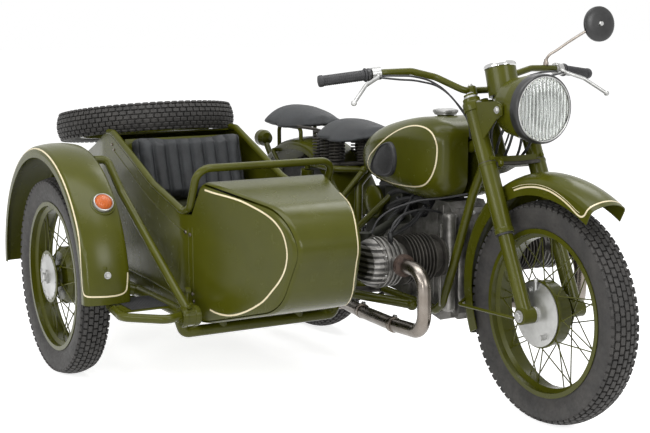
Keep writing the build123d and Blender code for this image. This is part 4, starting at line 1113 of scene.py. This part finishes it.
# filler cap
capValues = {"place": (885, 0, 899), "radius": 0.041, "knurls": 40, "knurlHeight": 11.5,
             "knurlSize": (0.009, 0.003, 0.003)}
capPlace = at(*capValues["place"])
capParts = [lathe("fillerCap", [(30, 0), (36, 0), (38, 2), (38, 5), (40, 7), (41, 9), (41, 14), (39, 17), (30, 19),
                                (28, 18), (0.01, 18)], capPlace, upward, plainAlloy, 48)]
knurls = runTree(blockRing, "knurls", 0.0004, Count=capValues["knurls"], Radius=capValues["radius"],
                 Size=capValues["knurlSize"], Tilt=0.0, Phase=0.0, Along=0.0, Material=plainAlloy)
knurlPlace = capPlace + Vector((0, 0, capValues["knurlHeight"] * mm))
knurls.data.transform(Matrix.Translation(knurlPlace) @ Matrix.Rotation(math.pi / 2, 4, "Y"))
handJoined("fillerCapRing", capParts + [knurls], "chassis", "steel")


# fork fittings
forkValues = {"rake": 25, "start": (1395.62, 314.64), "legs": 95, "ahead": 60, "wheelX": 1450, "wheelZ": 340}
rake = math.radians(forkValues["rake"])
forkForward = Vector((math.cos(rake), 0, math.sin(rake)))
forkUp = Vector((-math.sin(rake), 0, math.cos(rake)))


def forkPoint(forward, side, along):
    # millimetres ahead of the steering axis, to the left and up the fork
    startX, startZ = forkValues["start"]
    return at(startX, side, startZ) + (forkForward * forward + forkUp * along) * mm


forkParts, forkMetal, forkDark = [], [], []
# turned pieces on each leg: where they go, label, outline, finish, segments
legRows = [
    (forkParts, "legClamp", [(27, 650), (31, 652), (31.5, 664), (31.5, 676), (30, 680), (24, 682)], green, 40),
    (forkMetal, "legCap", [(22.5, 684), (23.5, 690), (22, 699), (17, 703), (16, 704)], plainAlloy, 36),
    (forkParts, "shroudCollar", [(28, 256), (30, 258), (30, 270), (28, 273)], green, 40),
    (forkParts, "coverCollar", [(27.5, 470), (29.4, 472), (29.4, 479), (27.5, 480)], green, 40),
    (forkDark, "coverGap", [(27.2, 480), (28.1, 480.3), (28.1, 483), (27.2, 483.4)], iron, 40),
    (forkDark, "wiper", [(23, 250), (27, 251), (27, 256.5), (23, 257)], rubber, 36),
]
for side in (-forkValues["legs"], forkValues["legs"]):
    leg = forkPoint(forkValues["ahead"], side, 0)
    outward = (0, math.copysign(1, side), 0)
    for parts, label, outline, material, segments in legRows:
        parts.append(lathe(label, outline, leg, forkUp, material, segments))
    forkMetal += boltHead(leg + forkUp * 0.703, forkUp, 13, 9, plainAlloy)
    forkMetal += boltHead(forkPoint(92, side, 666), forkForward, 7, 9, plainAlloy)
    forkMetal += boltHead(forkPoint(84, side, 488), forkForward, 7, 12, green)
    # axle end and pinch bolt
    axleSpot = at(forkValues["wheelX"], side * 1.18 + math.copysign(7, side), forkValues["wheelZ"])
    forkMetal += boltHead(axleSpot, outward, 14, 10, plainAlloy)
    forkMetal += boltHead(forkPoint(34, side, 0), -forkForward, 7, 8, plainAlloy)
forkDark.append(tube("damperRod", [forkPoint(88, -82, 470), forkPoint(92, 0, 466), forkPoint(88, 82, 470)], 6, iron))
forkMetal += boltHead(forkPoint(95, -70, 470), right, 10, 10, green)
handJoined("forkTrim", forkParts, "steering", "green_paint")
handJoined("forkBolts", forkMetal, "steering", "steel")
handJoined("forkSeals", forkDark, "steering", "black_rubber")

# dark wires behind the headlamp: start, middle and end of each
loomRadius = 4.5
looms = []
for points in (((1290, -60, 900), (1250, -52, 850), (1215, -40, 800)),
               ((1290, -30, 880), (1262, -24, 830), (1222, -22, 770)),
               ((1282, 10, 872), (1258, 20, 820), (1225, 26, 770)),
               ((1300, 40, 880), (1270, 48, 830), (1226, 44, 780)),
               ((1270, -66, 930), (1228, -66, 880), (1218, -56, 810))):
    looms.append(tube("loom", [at(*point) for point in points], loomRadius, rubber))
handJoined("headlampLooms", looms, "steering", "black_rubber")
print("stage: fork")


# handlebar clamps
clampCaps = []
for side in (-45, 45):
    foot = forkPoint(8, side, 747)
    clampCaps.append(lathe("clampCap", [(17, -22), (17.5, -4), (16, 4), (10, 8), (0.01, 9)], foot, forkUp, green, 32))
    clampCaps += boltHead(foot + forkUp * 0.008, forkUp, 7, 8, plainAlloy)
handJoined("handlebarClamps", clampCaps, "steering", "green_paint")
leverParts = []
for side in (-1, 1):
    bracket = at(1021.3, side * 349.7, 1047.6)
    run = Vector((barRun.x, side * barRun.y, barRun.z))
    leverParts.append(lathe("leverBand", [(11.3, -7), (15.5, -6), (15.5, 6), (11.3, 7)], bracket, run, plainAlloy,
                            28))
    leverParts += boltHead(bracket + Vector((0.006, 0, 0.012)), upward, 5, 7, plainAlloy)
handJoined("leverBands", leverParts, "steering", "cast_alloy")


# engine
# x and z of the line through both barrels, radius of the head bolts' circle, place of the left exhaust port
engineValues = {"head": (1005, 452), "boltCircle": 74, "port": (1109, 310, 456)}
engineParts = []
caseSurface = surfaceOf("engine_case")
# rows of cover bolts: y and z
for y, z in ((-64, 268), (-64, 340), (-64, 430), (-64, 520), (-60, 582), (0, 592), (60, 582), (64, 520), (64, 430),
             (64, 340), (64, 268), (0, 256)):
    found = onSurface([at(1250, y, z)], caseSurface, (-1, 0, 0))
    if found:
        engineParts += boltHead(found[0][0], ahead, 5.5, 5, plainAlloy)
# swelling of the timing cover
swellRows = [(0.01, 0), (20, 3), (31, 12), (36, 30), (36, 240), (31, 262), (20, 272), (0.01, 275)]
swell = lathe("swell", swellRows, Vector((0, 0, 0)), upward, castAlloy, 40)
swell.data.transform(Matrix.Translation(at(1051, -22, 290)) @ Matrix.Diagonal((0.24, 1, 1, 1)))
engineParts.append(swell)
for side in (-1, 1):
    engineParts.append(roundedBlock("shoulder", (46, 36, 326), 16,
                                    lambda x, y, z, s=side: at(1029 + x, s * 80 + y, 430 + z), castAlloy))
# side ribs and a seam on the crankcase
for x, low, high in ((905, 300, 372), (935, 296, 380), (965, 292, 380), (998, 290, 380), (1030, 288, 560),
                     (950, 520, 600), (985, 520, 612)):
    for side in (-1, 1):
        wall = onSurface([at(x, side * 300, (low + high) / 2)], caseSurface, (0, -side, 0))
        if wall:
            middle = Vector((at(x, 0, 0).x, wall[0][0].y, (low + high) / 2 * mm))
            engineParts.append(roundedBlock("rib", (7, 8, high - low), 2.5,
                                            lambda x, y, z, m=middle: m + Vector((x, y, z)) * mm, castAlloy))
handJoined("crankcaseTrim", engineParts, "chassis", "cast_alloy")

headX, headZ = engineValues["head"]
headParts, sparkParts = [], []
for side in (-1, 1):
    outward = (0, side, 0)
    for y, radius in ((346, 82.4), (358, 78.6)):
        headParts.append(lathe("seam", [(radius - 3, -2), (radius + 1.2, -1), (radius + 1.2, 1), (radius - 3, 2)],
                               at(headX, side * y, headZ), outward, castAlloy, 56))
    for angle in (25, 90, 155, 205, 335):
        circle, turn = engineValues["boltCircle"], math.radians(angle)
        spot = at(headX + circle * math.cos(turn), side * 345, headZ + circle * math.sin(turn))
        headParts += boltHead(spot, outward, 5.5, 8, plainAlloy)
    plug = at(1040, side * 312, 524)
    sparkParts.append(lathe("plugCap", [(6, -6), (9, 0), (9, 24), (6, 30), (0.01, 31)], plug,
                            Vector((0.25, 0.25 * side, 0.9)), plastic, 20))
    sparkParts.append(tube("lead", [plug + Vector((0.008, 0.008 * side, 0.028)), at(1050, side * 300, 585),
                                    at(1020, side * 220, 606), at(985, side * 130, 600), at(968, side * 70, 585)], 4,
                           rubber))
handJoined("headTrim", headParts, "chassis", "cast_alloy")
handJoined("sparkLeads", sparkParts, "chassis", "black_rubber")

# rust-brown collars and steel clamps of the exhaust
portX, portY, portZ = engineValues["port"]
collarOutline = [(25, -4), (35, -3), (35.6, 6), (33, 9), (35.4, 11), (35.2, 15), (27, 20), (23, 21)]
collars = [lathe("portCollar", collarOutline, at(portX, side * portY, portZ), ahead, finish["rustySteel"], 36)
           for side in (-1, 1)]
handJoined("exhaustCollars", collars, "chassis", "steel")
clamps = []
for side in (-1, 1):
    for x, y, z, direction in ((1028, 290, 248, (1, 0.1 * side, 0.01)), (756, 242, 233, (1, 0.2 * side, 0.04))):
        ringPlace = at(x, side * y, z)
        clamps.append(lathe("pipeClamp", [(22, -9), (25.5, -8), (25.5, -2), (24, 0), (25.5, 2), (25.5, 8), (22, 9)],
                            ringPlace, direction, steel, 36))
        clamps += boltHead(ringPlace + Vector((0, 0, 0.026)), (0, -side, 0), 5, 12, plainAlloy)
handJoined("exhaustClamps", clamps, "chassis", "steel")

# carburettors, hoses and rods between the engine and the tank
hoses = []
for side in (-1, 1):
    hoses.append(lathe("carburettorBowl", [(0.01, -34), (20, -33), (21, -28), (21, 6), (16, 10), (16, 40), (18, 42),
                                           (18, 52), (12, 56), (0.01, 57)], at(880, side * 292, 462), upward, iron, 28))
    hoses.append(tube("feed", [at(880, side * 270, 450), at(850, side * 200, 500), at(820, side * 120, 560),
                               at(800, side * 60, 640)], 5, rubber))
    hoses.append(tube("throttle", [at(884, side * 290, 516), at(880, side * 250, 570), at(930, side * 160, 620),
                                   at(1010, side * 90, 640), at(1090, side * 52, 660)], 3.6, rubber))
for points, radius in ((((640, -60, 560), (720, -70, 590), (800, -64, 610), (900, -60, 612)), 13),
                       (((660, -72, 520), (730, -84, 560), (790, -80, 592), (870, -70, 624)), 9),
                       (((600, -70, 640), (700, -76, 650), (820, -80, 640), (960, -72, 636)), 10),
                       (((620, -50, 600), (700, -60, 628), (780, -62, 634), (860, -50, 650)), 12),
                       (((700, -90, 470), (770, -98, 500), (840, -92, 540), (900, -84, 600)), 8),
                       (((690, -60, 600), (760, -50, 560), (830, -56, 560), (900, -56, 590)), 11),
                       (((560, -60, 660), (640, -64, 668), (720, -66, 660), (800, -60, 655)), 9)):
    for side in (1, -1):
        hoses.append(tube("hose", [at(x, side * y, z) for x, y, z in points], radius, rubber))
# closed boxes in the middle, between the engine and the seat: size, corner, place, finish
for label, size, corner, place, material in (
        ("coil", (120, 96, 52), 8, (800, 0, 612), darkPaint),
        ("duct", (170, 126, 62), 12, (690, 0, 526), darkPaint),
        ("starter", (130, 96, 60), 20, (850, 0, 574), iron),
        ("battery", (110, 120, 120), 8, (660, 0, 590), darkPaint),
        ("airBox", (146, 96, 118), 14, (528, 0, 486), darkPaint)):
    hoses.append(roundedBlock(label, size, corner, lambda x, y, z, p=place: at(p[0] + x, p[1] + y, p[2] + z), material))
handJoined("engineLines", hoses, "chassis", "black_rubber")
filterCap = lathe("filterCap", [(56, -3), (58.5, -1), (58.5, 8), (50, 14), (20, 17), (0.01, 17)], at(545, -62, 570),
                  right, green, 40)
handJoined("filterCaps", [filterCap], "chassis", "green_paint")
print("stage: engine")


# brake plate fittings and tail lamp
plateParts = [lathe("cableAdjuster", [(5, 0), (5, 26), (7, 28), (7, 36), (4, 38)], at(1452, -61, 416), (0.2, -0.15, 1),
                    plainAlloy, 18)]
plateParts += boltHead(at(1430, -62, 412), right, 8, 9, plainAlloy)
handJoined("brakeFittings", plateParts, "steering", "cast_alloy")
tailGlass = lathe("tailGlass", [(30, 0), (29, 5), (22, 10), (0.01, 13)], at(-350, -60, 725), (-1, 0, 0), redGlass, 36)
hand(tailGlass, "chassis", "red_plastic")
print("stage: hubs")


# floor, light, camera
def directRays(tree):
    # 1 for what the camera, a mirror or a glass sees directly
    seen = addNode(tree, "ShaderNodeLightPath").outputs
    total = seen["Is Camera Ray"]
    for label in ("Is Glossy Ray", "Is Transmission Ray"):
        total = mathNode(tree, "MAXIMUM", total, seen[label])
    return total


stageValues = {"size": 40, "floor": 0.86, "floorGlow": 0.80, "skyLight": 0.34, "lens": 72,
               "camera": (4440.0, -2487.9, 1226.7), "tip": 81.17, "turn": 60.31}
# name, place, what it points at, power, width and height
lightRows = [
    ("overhead", (0.6, -0.6, 3.8), (0, -0.2, 0.5), 90, 3.6, 2.0),
    ("nearSide", (1.2, -4.6, 2.4), (0, -0.4, 0.6), 70, 3.5, 1.0),
    ("front", (4.6, 0.6, 2.6), (0.3, 0, 0.6), 60, 1.6, 1.6),
    ("back", (-1.6, 2.6, 4.2), (0, 0, 0.4), 40, 2.4, 1.5),
    ("strip", (3.9, -3.6, 1.5), (1.1, -0.1, 0.7), 40, 0.3, 2.2),
]


def makeStage():
    size = stageValues["size"]
    data = bpy.data.meshes.new("floor")
    data.from_pydata([(-size, -size, 0), (size, -size, 0), (size, size, 0), (-size, size, 0)], [], [(0, 1, 2, 3)])
    material = bpy.data.materials.new("paleFloor")
    tree = emptyTree(material)
    diffuse = addNode(tree, "ShaderNodeBsdfDiffuse", {"Color": (*grey(stageValues["floor"]), 1)})
    dark, glow = (addNode(tree, "ShaderNodeEmission", {"Strength": strength}).outputs[0]
                  for strength in (0, stageValues["floorGlow"]))
    clear = addNode(tree, "ShaderNodeMixShader", {0: directRays(tree), 1: dark, 2: glow})
    total = addNode(tree, "ShaderNodeAddShader", {0: diffuse.outputs[0], 1: clear.outputs[0]})
    addNode(tree, "ShaderNodeOutputMaterial", {0: total.outputs[0]})
    data.materials.append(material)
    placed("floor", data)


def makeWorld():
    world = bpy.data.worlds.new("studio")
    bpy.context.scene.world = world
    tree = emptyTree(world)
    soft, white = (addNode(tree, "ShaderNodeBackground", {"Color": (1, 1, 1, 1), "Strength": strength}).outputs[0]
                   for strength in (stageValues["skyLight"], 1))
    mix = addNode(tree, "ShaderNodeMixShader", {0: directRays(tree), 1: soft, 2: white})
    addNode(tree, "ShaderNodeOutputWorld", {0: mix.outputs[0]})


def areaLight(name, place, target, power, width, height):
    data = bpy.data.lights.new(name, "AREA")
    data.shape, data.size, data.size_y, data.energy = "RECTANGLE", width, height, power
    light = placed(name, data)
    light.location = place
    light.rotation_euler = (Vector(target) - Vector(place)).to_track_quat("-Z", "Y").to_euler()


def makeCamera():
    v = stageValues
    data = bpy.data.cameras.new("camera")
    data.sensor_width, data.lens = 36, v["lens"]
    camera = placed("camera", data)
    camera.location = at(*v["camera"])
    camera.rotation_euler = (math.radians(v["tip"]), 0, math.radians(v["turn"]))
    bpy.context.scene.camera = camera


makeStage()
makeWorld()
for row in lightRows:
    areaLight(*row)
makeCamera()
bpy.context.scene.view_settings.view_transform = "Standard"
print("stage: set")
